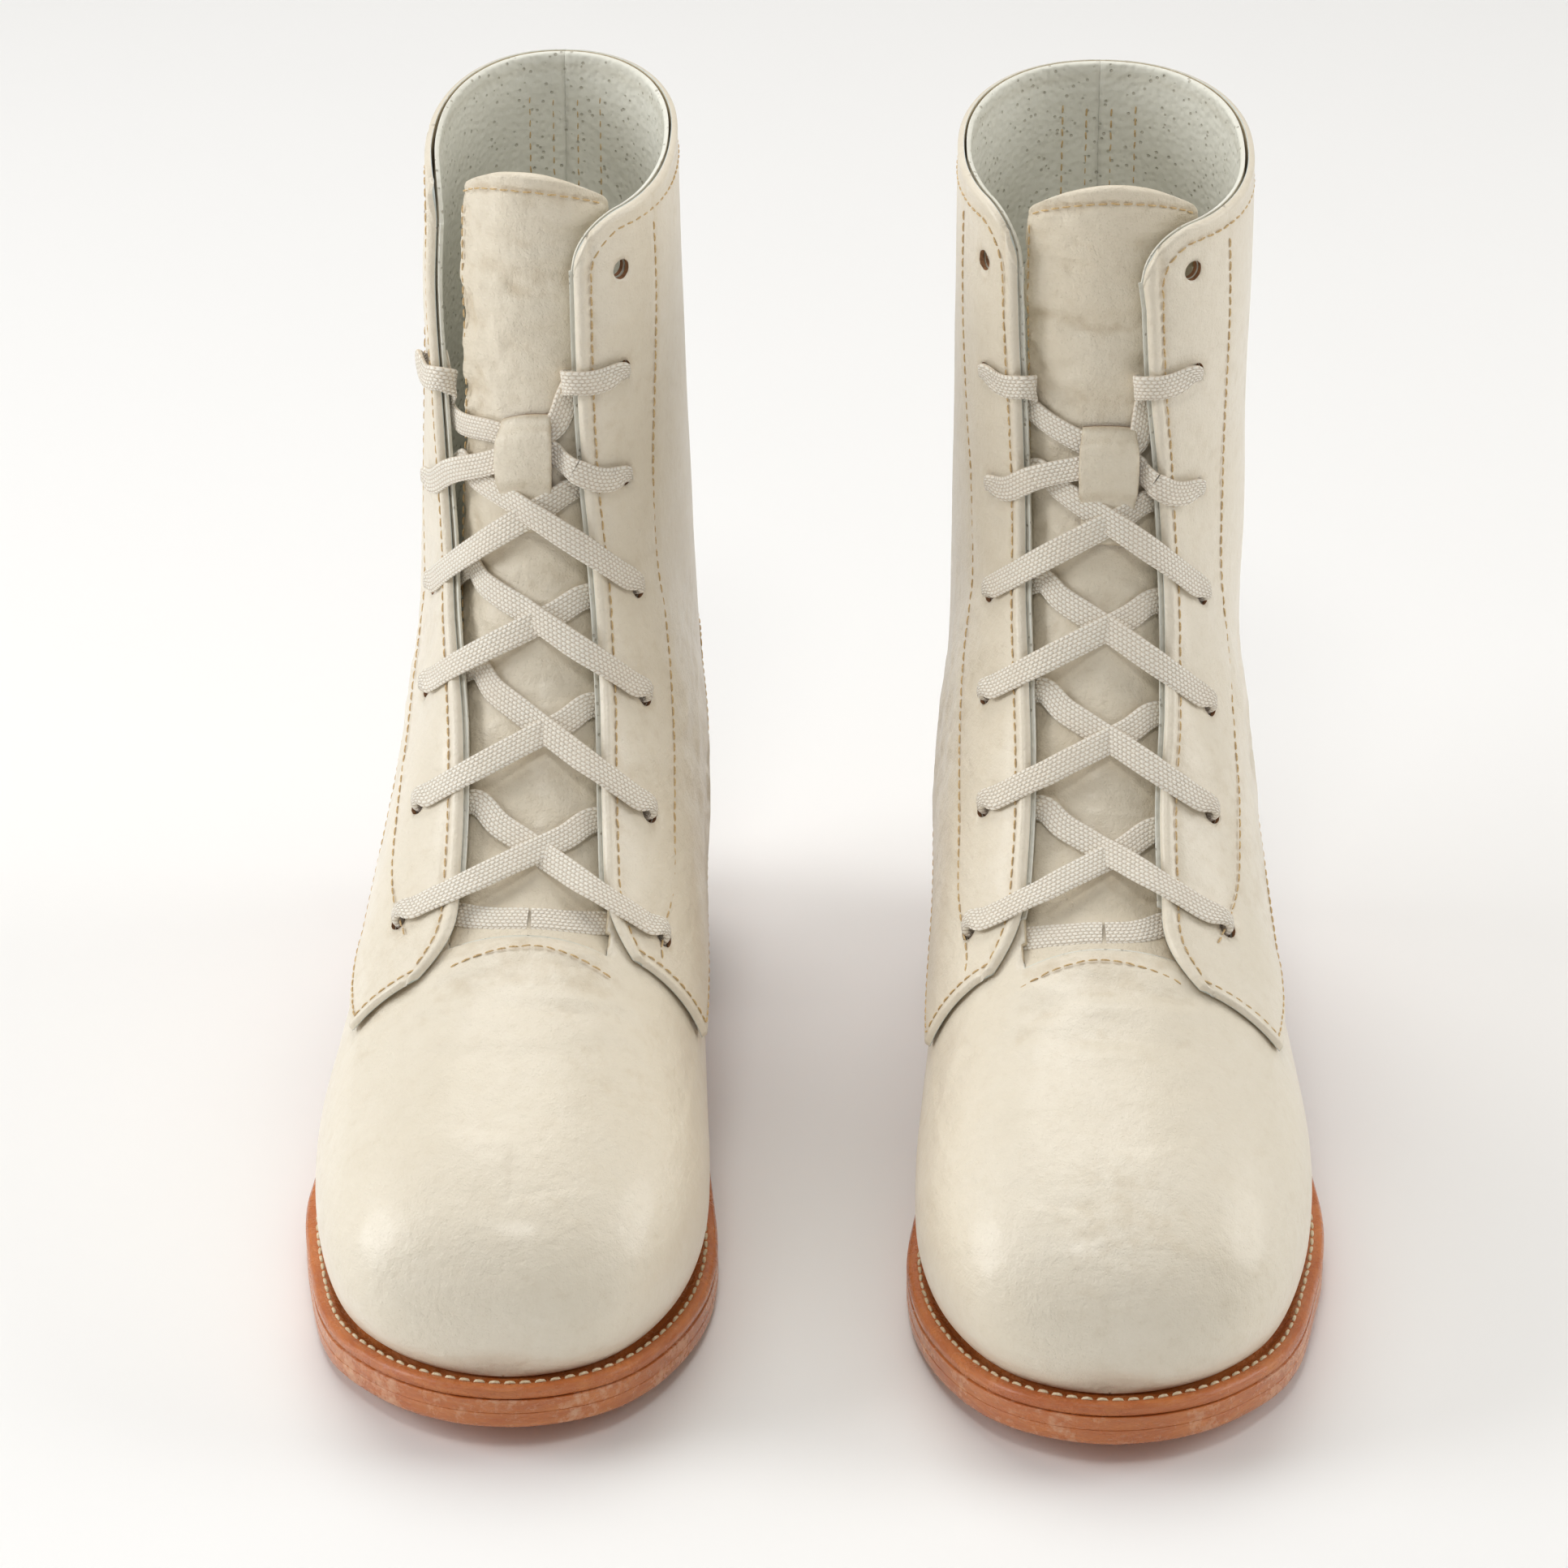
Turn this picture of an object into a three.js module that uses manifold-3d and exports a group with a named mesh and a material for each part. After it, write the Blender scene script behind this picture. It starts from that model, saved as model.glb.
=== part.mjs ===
// A pair of high lace-up derby boots: cream leather uppers on welted, natural leather soles.
// Units are millimetres. +Z is up, the toes point to -Y, and +X is the inner side of the right foot.
// Each boot is modelled in its own frame as a right boot. The left one is the mirror image.

import * as THREE from 'three';
import { mergeVertices } from 'three/addons/utils/BufferGeometryUtils.js';
import Module from 'manifold-3d';

const wasm = await Module();
wasm.setup();

// ---------------------------------------------------------------- driving dimensions

const LAST_LENGTH = 257;        // toe to heel, along the line where the upper meets the welt
const BALL_WIDTH = 90.6;        // across the ball, on the same line
const BOOT_RISE = 201.6;        // from the heel seat up to the collar at the back
const HEEL_HEIGHT = 35;
const TOE_SPRING = 8.4;         // how far the tip of the sole stands off the ground
const OUTSOLE_THICKNESS = 4.4;
const MIDSOLE_THICKNESS = 3.2;
const WELT_THICKNESS = 3.2;
const WELT_WIDTH = 5.8;         // how far the welt stands out past the upper
const UPPER_THICKNESS = 1.6;
const STIFFENER_THICKNESS = 1.3;
const LINING_THICKNESS = 1.1;
const TONGUE_THICKNESS = 1.8;
const INSOLE_THICKNESS = 2.4;
const SOCK_THICKNESS = 1.2;
const CORK_THICKNESS = 1.3;
const SHANK_THICKNESS = 1.1;
const SHANK_WIDTH = 13;
const EYELET_DIAMETER = 5;
const LACE_WIDTH = 6.4;
const LACE_THICKNESS = 1.2;
const LACE_TIP_DIAMETER = 2.2;
const LACE_TIP_LENGTH = 18;
const KEEPER_WIDTH = 14.5;
const TONGUE_HALF_WIDTH = 25;
const GAP = 0.4;                // between pieces that are sewn, glued or resting on each other

// ---------------------------------------------------------------- the two boots

// Each boot stands as it was set down: x and y place its middle, turn is in degrees about +Z,
// spread is how much wider (or narrower) than its last the soft shaft stands at the collar, and
// the facings give the distance of each front edge from the centre line: [station, distance].
const BOOTS = [
  {
    side: 'right', x: -60.1, y: 4.3, turn: -2.4, spread: -0.09, keeperAt: -5, outerLaceOnTop: true,
    facings: {
      medial: [[7.5, 18], [8.5, 16.4], [9.5, 15.3], [11, 12.8], [12.5, 9.8], [14, 8.4], [16, 8]],
      lateral: [[7.5, 17.6], [8.5, 18.4], [9.5, 21], [11, 29], [12.5, 36], [14, 37.5], [16, 38]],
    },
  },
  {
    side: 'left', x: 77.4, y: -2.4, turn: -0.8, spread: 0.09, keeperAt: -1, outerLaceOnTop: false,
    facings: {
      medial: [[7.5, 19.4], [8.5, 18], [9.5, 18.4], [11, 20.6], [12.5, 22.4], [14, 22.8], [16, 23.4]],
      lateral: [[7.5, 14], [8.5, 14], [9.5, 15.6], [11, 15.8], [12.5, 13.6], [14, 10], [16, 7.6]],
    },
  },
];

// ---------------------------------------------------------------- the last

// The standard last, which the driving dimensions stretch. Its outline at the feather line, from
// the toe to the heel, as [distance from the centre line, position along the foot].
const STANDARD = { length: 257, width: 90.6, rise: 201.6 };
const MEDIAL_OUTLINE = [
  [0, -128], [11.4, -125.5], [22.6, -118], [31.9, -104], [38.8, -84], [40.9, -62], [38, -35],
  [33.5, 0], [30, 28], [30, 58], [30.5, 88], [26.5, 110], [15, 124.5], [0, 129],
];
const LATERAL_OUTLINE = [
  [0, -128], [12.6, -125.5], [25.6, -117], [38.6, -100], [45.8, -74], [49.7, -46], [47.1, -18],
  [40.5, 12], [35, 40], [32.5, 66], [31.5, 92], [26.5, 111], [15, 124.5], [0, 129],
];

// Stations along the boot. Each is a slanting section through a point on the front line and one
// on the feather line or, from the heel on, up the back line. front and back are the positions
// along the foot, rise and lift the heights of those points over the feather line, inner and
// outer the half widths, and wide is how far back in the section it is widest.
const STATIONS = [
  { front: -128, rise: 0, back: -128, lift: 0, inner: 0, outer: 0, wide: 0.5, round: 2 },
  { front: -130, rise: 11, back: -125.5, lift: 0, inner: 15, outer: 16, wide: 0.5, round: 2 },
  { front: -127.5, rise: 24.6, back: -119, lift: 0, inner: 27, outer: 29.5, wide: 0.55, round: 2.1 },
  { front: -118.5, rise: 38.2, back: -109, lift: 0, inner: 35, outer: 38.5, wide: 0.6, round: 2.2 },
  { front: -103, rise: 49, back: -95, lift: 0, inner: 41, outer: 44.5, wide: 0.65, round: 2.2 },
  { front: -82, rise: 58, back: -77, lift: 0, inner: 44.4, outer: 49, wide: 0.68, round: 2.2 },
  { front: -58, rise: 66.8, back: -57, lift: 0, inner: 44.6, outer: 50.8, wide: 0.7, round: 2.1 },
  { front: -36, rise: 75.8, back: -36, lift: 0, inner: 43.3, outer: 49.4, wide: 0.7, round: 2 },
  { front: -15.5, rise: 84.2, back: -9, lift: 0, inner: 41, outer: 45.2, wide: 0.68, round: 2 },
  { front: 1, rise: 89.6, back: 24, lift: 0, inner: 38.3, outer: 40.9, wide: 0.66, round: 2 },
  { front: 14, rise: 92.4, back: 60, lift: 0, inner: 37.4, outer: 38.1, wide: 0.66, round: 2 },
  { front: 23.5, rise: 105, back: 98, lift: 0, inner: 35.8, outer: 36.5, wide: 0.64, round: 2.1 },
  { front: 29, rise: 121, back: 129, lift: 0, inner: 33.2, outer: 35, wide: 0.6, round: 2.2 },
  { front: 31.5, rise: 139.4, back: 131.5, lift: 33.4, inner: 32.2, outer: 34, wide: 0.56, round: 2.2 },
  { front: 32.5, rise: 156.8, back: 123, lift: 82.8, inner: 31.6, outer: 32.6, wide: 0.52, round: 2.2 },
  { front: 33, rise: 174.2, back: 119, lift: 137.2, inner: 31.4, outer: 32, wide: 0.5, round: 2.2 },
  { front: 33, rise: 193.6, back: 121, lift: 201.6, inner: 31, outer: 31, wide: 0.5, round: 2.2 },
  { front: 34.5, rise: 213, back: 123, lift: 221, inner: 31, outer: 31, wide: 0.5, round: 2.2 },
];
const COLLAR = 16;              // the station of the collar; the one past it only guides the tongue
const HEEL_BACK = 12;           // the station that reaches the back of the heel
const ROWS_PER_STATION = 8;
const HALF_COLUMNS = 48;

const SOLE_THICKNESS = OUTSOLE_THICKNESS + MIDSOLE_THICKNESS + WELT_THICKNESS + 3 * GAP;
const alongFoot = LAST_LENGTH / STANDARD.length;
const acrossFoot = BALL_WIDTH / STANDARD.width;
const upBoot = BOOT_RISE / STANDARD.rise;
const HEEL_END = 129 * alongFoot;

// A smooth curve through rows of numbers, each led by its parameter.
function curveThrough(rows) {
  const slopes = rows.map((row, i) => {
    const before = rows[Math.max(i - 1, 0)];
    const after = rows[Math.min(i + 1, rows.length - 1)];
    return row.map((value, k) => (after[k] - before[k]) / (after[0] - before[0]));
  });
  return (t) => {
    let i = rows.findIndex((row) => row[0] > t) - 1;
    if (i < -1) i = rows.length - 2;
    i = Math.max(i, 0);
    const span = rows[i + 1][0] - rows[i][0];
    const u = THREE.MathUtils.clamp((t - rows[i][0]) / span, 0, 1);
    const ease = [
      2 * u ** 3 - 3 * u ** 2 + 1, u ** 3 - 2 * u ** 2 + u, 3 * u ** 2 - 2 * u ** 3, u ** 3 - u ** 2,
    ];
    return rows[i].slice(1).map((start, k) => ease[0] * start + ease[1] * span * slopes[i][k + 1]
      + ease[2] * rows[i + 1][k + 1] + ease[3] * span * slopes[i + 1][k + 1]);
  };
}

const smoothStep = (from, to, value) => THREE.MathUtils.smoothstep(value, from, to);
const mix = THREE.MathUtils.lerp;

// The side view of the sole's underside: toe spring, tread, waist and heel seat.
function soleHeight(y) {
  const spring = Math.max(-48 * alongFoot - y, 0) / (87 * alongFoot);
  return TOE_SPRING * spring ** 2 + HEEL_HEIGHT * smoothStep(-40 * alongFoot, 84 * alongFoot, y);
}
const featherHeight = (y) => soleHeight(y) + SOLE_THICKNESS;

// The feather line as two rows of points, medial and lateral, moved outwards by an offset.
const OUTLINE_STEPS = 160;
function outlineSide(points, offset) {
  const stretched = points.map(([x, y]) => [x * acrossFoot, y * alongFoot]);
  let run = 0;
  const keyed = stretched.map(([x, y], i) => {
    if (i > 0) run += Math.hypot(x - stretched[i - 1][0], y - stretched[i - 1][1]);
    return [run, x, y];
  });
  const second = keyed[1];
  const last = keyed[keyed.length - 2];
  const ghosts = [[-second[0], -second[1], second[2]], [2 * run - last[0], -last[1], last[2]]];
  const curve = curveThrough([ghosts[0], ...keyed, ghosts[1]]);
  return Array.from({ length: OUTLINE_STEPS + 1 }, (_, i) => {
    const t = (run * i) / OUTLINE_STEPS;
    const [x, y] = curve(t);
    const [x1, y1] = curve(t + 0.05);
    const [x0, y0] = curve(t - 0.05);
    const length = Math.hypot(x1 - x0, y1 - y0);
    if (i === 0) return [0, stretched[0][1] - offset];
    if (i === OUTLINE_STEPS) return [0, stretched[stretched.length - 1][1] + offset];
    const out = x - (offset * (y0 - y1)) / length;
    return [Math.max(out, 0.01), y - (offset * (x1 - x0)) / length];
  });
}

function widthAt(side, y) {
  const i = side.findIndex((point) => point[1] > y);
  if (i <= 0) return 0;
  const [a, b] = [side[i - 1], side[i]];
  return mix(a[0], b[0], (y - a[1]) / (b[1] - a[1]));
}

const FEATHER = { medial: outlineSide(MEDIAL_OUTLINE, 0), lateral: outlineSide(LATERAL_OUTLINE, 0) };

// The outer skin of the vamp as a grid of points and normals. Rows are stations, and columns run
// from the lateral end (-1) over the front line (0) to the medial end (+1) by length along the row.
class Last {
  constructor(spread) {
    const stationRows = STATIONS.map((s, i) => [
      i, s.front * alongFoot, s.rise * upBoot, s.back * alongFoot, s.lift * upBoot,
      s.inner * acrossFoot, s.outer * acrossFoot, s.wide, s.round,
    ]);
    const [tip, first] = stationRows;
    const ghost = [-1, first[1], -first[2], first[3], 0, -first[5], -first[6], tip[7], tip[8]];
    this.station = curveThrough([ghost, ...stationRows]);
    this.spread = spread;
    this.rows = (STATIONS.length - 1) * ROWS_PER_STATION;
    this.points = [];
    this.reach = [];
    for (let i = 0; i <= this.rows; i += 1) {
      const t = i / ROWS_PER_STATION;
      const lateral = this.halfRow(t, -1);
      const medial = this.halfRow(t, 1);
      this.points.push([...lateral.points.slice(1).reverse(), ...medial.points]);
      this.reach.push({ medial: medial.length, lateral: lateral.length });
    }
    this.makeNormals();
  }

  // One side of a section, as evenly spaced points from the front line to the end.
  halfRow(t, side) {
    const [front, rise, back, lift, inner, outer, wide, round] = this.station(t);
    const seat = featherHeight(Math.min(back, HEEL_END));
    const outline = side > 0 ? FEATHER.medial : FEATHER.lateral;
    const end = t >= HEEL_BACK ? 0 : widthAt(outline, Math.min(back, HEEL_END));
    const width = Math.max(side > 0 ? inner : outer, end + 1e-3, 1e-3);
    const sweep = Math.acos(Math.min((end / width) ** (round / 2), 1));
    const depth = (1 - wide) / Math.max(Math.sin(sweep), 1e-3) ** (2 / round);
    const dense = [];
    for (let k = 0; k <= 120; k += 1) {
      const angle = (k / 120) * (Math.PI / 2 + sweep);
      const past = angle - Math.PI / 2;
      const along = past <= 0
        ? wide * (1 - Math.max(Math.cos(angle), 0) ** (2 / round))
        : wide + depth * Math.sin(past) ** (2 / round);
      const x = past <= 0
        ? width * Math.sin(angle) ** (2 / round)
        : width * Math.max(Math.cos(past), 0) ** (2 / round);
      const z = mix(seat + rise, seat + lift, along);
      const opened = 1 + this.spread * Math.max((z - 60) / 190, 0);
      dense.push(new THREE.Vector3(side * x * opened, mix(front, back, along), z));
    }
    const runs = [0];
    for (let k = 1; k <= 120; k += 1) runs.push(runs[k - 1] + dense[k].distanceTo(dense[k - 1]));
    const length = runs[120];
    const points = Array.from({ length: HALF_COLUMNS + 1 }, (_, j) => {
      const want = (length * j) / HALF_COLUMNS;
      const k = Math.max(runs.findIndex((run) => run >= want - 1e-6), 1);
      const share = (want - runs[k - 1]) / Math.max(runs[k] - runs[k - 1], 1e-9);
      return dense[k - 1].clone().lerp(dense[k], Math.min(share, 1));
    });
    return { points, length };
  }

  makeNormals() {
    const columns = 2 * HALF_COLUMNS;
    this.normals = this.points.map((row) => row.map(() => new THREE.Vector3()));
    const corner = new THREE.Vector3();
    const across = new THREE.Vector3();
    for (let i = 0; i < this.rows; i += 1) {
      for (let j = 0; j < columns; j += 1) {
        const [a, b] = [this.points[i][j], this.points[i][j + 1]];
        const [c, d] = [this.points[i + 1][j + 1], this.points[i + 1][j]];
        corner.subVectors(c, a);
        across.subVectors(b, d);
        const normal = across.cross(corner).clone();
        for (const [p, q] of [[i, j], [i, j + 1], [i + 1, j + 1], [i + 1, j]]) {
          this.normals[p][q].add(normal);
        }
      }
    }
    for (let i = HEEL_BACK * ROWS_PER_STATION; i <= this.rows; i += 1) {
      const seam = this.normals[i][0].clone().add(this.normals[i][columns]);
      this.normals[i][0].copy(seam);
      this.normals[i][columns].copy(seam);
    }
    for (const row of this.normals) for (const normal of row) normal.normalize();
  }

  // The point at a station and a share of its row, moved off the skin by an offset.
  at(t, share, offset = 0) {
    const row = THREE.MathUtils.clamp(t * ROWS_PER_STATION, 0, this.rows - 1e-6);
    const column = THREE.MathUtils.clamp((share + 1) * HALF_COLUMNS, 0, 2 * HALF_COLUMNS - 1e-6);
    const [i, j] = [Math.floor(row), Math.floor(column)];
    const [u, v] = [row - i, column - j];
    const blend = (grid) => grid[i][j].clone().lerp(grid[i][j + 1], v)
      .lerp(grid[i + 1][j].clone().lerp(grid[i + 1][j + 1], v), u);
    const normal = blend(this.normals).normalize();
    return { point: blend(this.points).addScaledVector(normal, offset), normal };
  }

  reachAt(t, side) {
    const row = THREE.MathUtils.clamp(t * ROWS_PER_STATION, 0, this.rows - 1e-6);
    const i = Math.floor(row);
    return mix(this.reach[i][side], this.reach[i + 1][side], row - i);
  }

  // A distance from the front line, positive to the medial side, as a share of the row.
  share(t, distance) {
    return distance / this.reachAt(t, distance > 0 ? 'medial' : 'lateral');
  }

  // The share at which a row comes down to a height over the feather line, or 1 at its end.
  shareAtHeight(t, side, heightOf) {
    const sign = side === 'medial' ? 1 : -1;
    for (let share = 1; share > 0; share -= 0.0025) {
      const { point } = this.at(t, sign * share);
      const height = point.z - featherHeight(Math.min(point.y, HEEL_END));
      if (height >= heightOf(point.y, side)) return share;
    }
    return 0;
  }

  // The skin as one mesh that rays can be cast at, from the inside.
  rayTarget() {
    const columns = 2 * HALF_COLUMNS + 1;
    const geometry = new THREE.BufferGeometry();
    const flat = (grid) => grid.flatMap((row) => row.flatMap((v) => [v.x, v.y, v.z]));
    geometry.setAttribute('position', new THREE.Float32BufferAttribute(flat(this.points), 3));
    geometry.setAttribute('normal', new THREE.Float32BufferAttribute(flat(this.normals), 3));
    const faces = [];
    for (let i = 8 * ROWS_PER_STATION; i < this.rows; i += 1) {
      for (let j = 0; j < columns - 1; j += 1) {
        const a = i * columns + j;
        faces.push(a, a + 1, a + columns + 1, a, a + columns + 1, a + columns);
      }
    }
    geometry.setIndex(faces);
    return new THREE.Mesh(geometry, new THREE.MeshBasicMaterial({ side: THREE.DoubleSide }));
  }
}

// ---------------------------------------------------------------- solids from grids

// The height of the quarter's lower edge over the feather line.
function quarterEdge(y, side) {
  const toHeel = smoothStep(20 * alongFoot, 120 * alongFoot, y);
  return (side === 'medial' ? mix(41, 50, toHeel) : mix(50, 50, toHeel)) * upBoot;
}
const LAP = 9;                  // how far the pieces below run up under the quarter
const lappedEdge = (y, side) => quarterEdge(y, side) + LAP;
const liningEdge = (y, side) => quarterEdge(y, side) + LAP + 1.5;

// Levels of the skins, outwards from the outer skin of the vamp.
const under = (skin, thickness, gap = GAP) => ({
  outer: skin.inner - gap, inner: skin.inner - gap - thickness,
});
const VAMP_SKIN = { outer: 0, inner: -UPPER_THICKNESS };
const STIFFENER_SKIN = under(VAMP_SKIN, STIFFENER_THICKNESS, 1.3 * GAP);
const FOOT_LINING_SKIN = under(STIFFENER_SKIN, LINING_THICKNESS, 1.3 * GAP);
const QUARTER_SKIN = { outer: 2.2 * GAP + UPPER_THICKNESS, inner: 2.2 * GAP };
const SHAFT_LINING_SKIN = under(QUARTER_SKIN, LINING_THICKNESS, 1.7 * GAP);
const LACE_OVER = QUARTER_SKIN.outer + 2.1 * GAP + LACE_THICKNESS / 2;
const LACE_UNDER = SHAFT_LINING_SKIN.inner - 2.4 * GAP - LACE_THICKNESS / 2;
const TONGUE_TOP = LACE_UNDER - LACE_THICKNESS / 2 - 3.5 * GAP;

// A closed sheet from a grid of { outer, inner } points: two skins and a wall round every edge.
// keep says which cells the sheet has, so a sheet can be any shape that the grid can be cut to.
// A looped sheet's last row is its first one again.
function sheetGeometry(grid, keep = () => true, looped = false) {
  const rows = grid.length;
  const columns = grid[0].length;
  const positions = [];
  for (const skin of ['outer', 'inner']) {
    for (const row of grid) for (const cell of row) positions.push(...cell[skin].toArray());
  }
  const index = (i, j, layer) => layer * rows * columns + i * columns + j;
  const within = (i, j) => j >= 0 && j < columns - 1 && (looped || (i >= 0 && i < rows - 1));
  const kept = (i, j) => within(i, j) && keep(i, j);
  const faces = [];
  const wall = (a, b) => {
    const [a0, b0, a1, b1] = [index(...a, 0), index(...b, 0), index(...a, 1), index(...b, 1)];
    faces.push(a0, a1, b1, a0, b1, b0);
  };
  for (let i = 0; i < rows - 1; i += 1) {
    for (let j = 0; j < columns - 1; j += 1) {
      if (!kept(i, j)) continue;
      const corners = [[i, j], [i, j + 1], [i + 1, j + 1], [i + 1, j]];
      const [a, b, c, d] = corners.map((corner) => index(...corner, 0));
      const [e, f, g, h] = corners.map((corner) => index(...corner, 1));
      faces.push(a, b, c, a, c, d, e, g, f, e, h, g);
      if (!kept(i - 1, j)) wall(corners[0], corners[1]);
      if (!kept(i, j + 1)) wall(corners[1], corners[2]);
      if (!kept(i + 1, j)) wall(corners[2], corners[3]);
      if (!kept(i, j - 1)) wall(corners[3], corners[0]);
    }
  }
  const geometry = new THREE.BufferGeometry();
  geometry.setAttribute('position', new THREE.Float32BufferAttribute(positions, 3));
  geometry.setIndex(faces);
  return facingOut(geometry);
}

// Merges shared corners, drops collapsed triangles and turns the faces out.
function facingOut(geometry) {
  geometry.deleteAttribute('normal');
  geometry.deleteAttribute('uv');
  const merged = mergeVertices(geometry, 1e-4);
  const source = merged.index.array;
  const position = merged.attributes.position;
  const kept = [];
  for (let k = 0; k < source.length; k += 3) {
    const [a, b, c] = [source[k], source[k + 1], source[k + 2]];
    if (a !== b && b !== c && c !== a) kept.push(a, b, c);
  }
  const [p, q, r] = [new THREE.Vector3(), new THREE.Vector3(), new THREE.Vector3()];
  let volume = 0;
  for (let k = 0; k < kept.length; k += 3) {
    p.fromBufferAttribute(position, kept[k]);
    q.fromBufferAttribute(position, kept[k + 1]);
    r.fromBufferAttribute(position, kept[k + 2]);
    volume += p.dot(q.cross(r));
  }
  if (volume < 0) kept.reverse();
  merged.setIndex(kept);
  return merged;
}

function toSolid(geometry) {
  const closed = facingOut(geometry);
  const solid = new wasm.Mesh({
    numProp: 3,
    vertProperties: new Float32Array(closed.attributes.position.array),
    triVerts: new Uint32Array(closed.index.array),
  });
  solid.merge();
  return new wasm.Manifold(solid);
}

function fromSolid(solid) {
  const { vertProperties, triVerts } = solid.getMesh();
  const geometry = new THREE.BufferGeometry();
  geometry.setAttribute('position', new THREE.BufferAttribute(new Float32Array(vertProperties), 3));
  geometry.setIndex(new THREE.BufferAttribute(new Uint32Array(triVerts), 1));
  return geometry;
}

const range = (count) => Array.from({ length: count + 1 }, (_, i) => i / count);

// A plate under the foot: the outline moved by an offset, between two heights over the ground line.
function plateGeometry({ offset, bottom, top, from = -Infinity, to = Infinity, rows = 28 }) {
  const sides = [outlineSide(MEDIAL_OUTLINE, offset), outlineSide(LATERAL_OUTLINE, offset)];
  const tip = Math.max(sides[0][0][1], sides[1][0][1], from);
  const end = Math.min(sides[0][OUTLINE_STEPS][1], sides[1][OUTLINE_STEPS][1], to);
  const grid = range(rows).map((u) => {
    const y = mix(tip, end, (1 - Math.cos(Math.PI * u)) / 2);
    return range(1).map((v) => {
      const x = v ? widthAt(sides[0], y) : -widthAt(sides[1], y);
      return { outer: new THREE.Vector3(x, y, top(y)), inner: new THREE.Vector3(x, y, bottom(y)) };
    });
  });
  return sheetGeometry(grid);
}

// A ring under the foot between two offsets of the outline, closed all the way round.
function ringGeometry({ outside, inside, bottom, top, steps = 32 }) {
  const loop = (offset) => {
    const medial = outlineSide(MEDIAL_OUTLINE, offset);
    const lateral = outlineSide(LATERAL_OUTLINE, offset);
    const pick = (side, sign) => range(steps).map((u) => {
      const [x, y] = side[Math.round(u * OUTLINE_STEPS)];
      return [sign * x, y];
    });
    return [...pick(medial, 1), ...pick(lateral, -1).reverse().slice(1)];
  };
  const [outer, inner] = [loop(outside), loop(inside)];
  const grid = outer.map(([x, y], i) => [[x, y], inner[i]].map(([px, py]) => ({
    outer: new THREE.Vector3(px, py, top(py)), inner: new THREE.Vector3(px, py, bottom(py)),
  })));
  return sheetGeometry(grid, () => true, true);
}

// ---------------------------------------------------------------- upper pieces

const TOE_END = 0.15;           // the first row of the pieces that wrap the toe
const THROAT = 6.95;            // where the vamp ends between the facings
const VAMP_LAPPED_END = 7.35;   // where it ends under the quarters
const WING_END = 9.33;          // where its wings meet the heel cover
const WING_FOOT = 36;           // and where that edge stands on the feather line
const WING_SLANT = 0.35;        // how far that edge leans forward for each unit of height
const LINING_THROAT = 6.5;
const TOE_ROWS = [TOE_END, 0.6, 1.2, 1.9, 2.7];
const MIDDLE_ROWS = [3.6, 4.6, 5.7];

function skinCell(last, t, share, skin) {
  return {
    outer: last.at(t, share, skin.outer).point,
    inner: last.at(t, share, skin.inner).point,
  };
}

// A horseshoe round the toe: the middle stops at the throat, and the wings run on to the heel cover.
function horseshoeGeometry(last, skin, { throat, lappedEnd, edge, rowList }) {
  const wingShare = (t, side) => last.shareAtHeight(Math.max(t, 6.6), side, edge);
  const columns = [];
  for (const side of ['lateral', 'medial']) {
    const sign = side === 'medial' ? 1 : -1;
    const wing = (t) => wingShare(t, side);
    const middle = (t) => Math.min(22 / last.reachAt(Math.max(t, 4), side), wing(t) - 0.05);
    const shares = [
      ...[1, 0.75, 0.5, 0.25, 0].map((u) => (t) => sign * mix(wing(t), 1, u)),
      (t) => sign * mix(middle(t), wing(t), 0.5),
      (t) => sign * middle(t),
      (t) => sign * middle(t) * 0.5,
    ];
    columns.push(side === 'lateral' ? shares : shares.reverse());
  }
  const shares = [...columns[0], () => 0, ...columns[1]];
  const grid = rowList.map((t) => shares.map((share) => skinCell(last, t, share(t), skin)));
  const middleColumns = (j) => j >= 6 && j < 10;
  const wingColumns = (j) => j < 4 || j >= 12;
  return sheetGeometry(grid, (i, j) => {
    const rowEnd = rowList[i + 1];
    if (middleColumns(j)) return rowEnd <= throat + 1e-6;
    return wingColumns(j) || rowEnd <= lappedEnd + 1e-6;
  });
}

function vampGeometry(last) {
  const rowList = [...TOE_ROWS, ...MIDDLE_ROWS, THROAT, VAMP_LAPPED_END, 8.1, 8.7, WING_END];
  return horseshoeGeometry(last, VAMP_SKIN, {
    throat: THROAT, lappedEnd: VAMP_LAPPED_END, edge: lappedEdge, rowList,
  });
}

function vampLiningGeometry(last) {
  const rowList = [...TOE_ROWS, ...MIDDLE_ROWS, LINING_THROAT, 7.2, 8.1, 8.7, WING_END];
  return horseshoeGeometry(last, FOOT_LINING_SKIN, {
    throat: LINING_THROAT, lappedEnd: LINING_THROAT, edge: lappedEdge, rowList,
  });
}

// The stiff cap inside the toe.
function toePuffGeometry(last) {
  return horseshoeGeometry(last, STIFFENER_SKIN, {
    throat: THROAT, lappedEnd: THROAT, edge: lappedEdge, rowList: TOE_ROWS,
  });
}

// The lower front corners of the quarters: the station of the edge at the facing and at the tip.
const TIPS = {
  medial: { first: 6.93, last: 7.15 },
  lateral: { first: 6.5, last: 6.46 },
};
const FACING_TURN = 0.85;       // how many stations the lower front corner is rounded over
const COLLAR_CORNER = 13;       // radius of the rounded upper front corner

function facingDistance(boot, side, t) {
  const [distance] = curveThrough(boot.facings[side])(Math.max(t, 7.5));
  const drop = Math.max(TIPS[side].first + FACING_TURN - t, 0) / FACING_TURN;
  return distance + 9 * drop ** 2.5;
}

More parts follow.
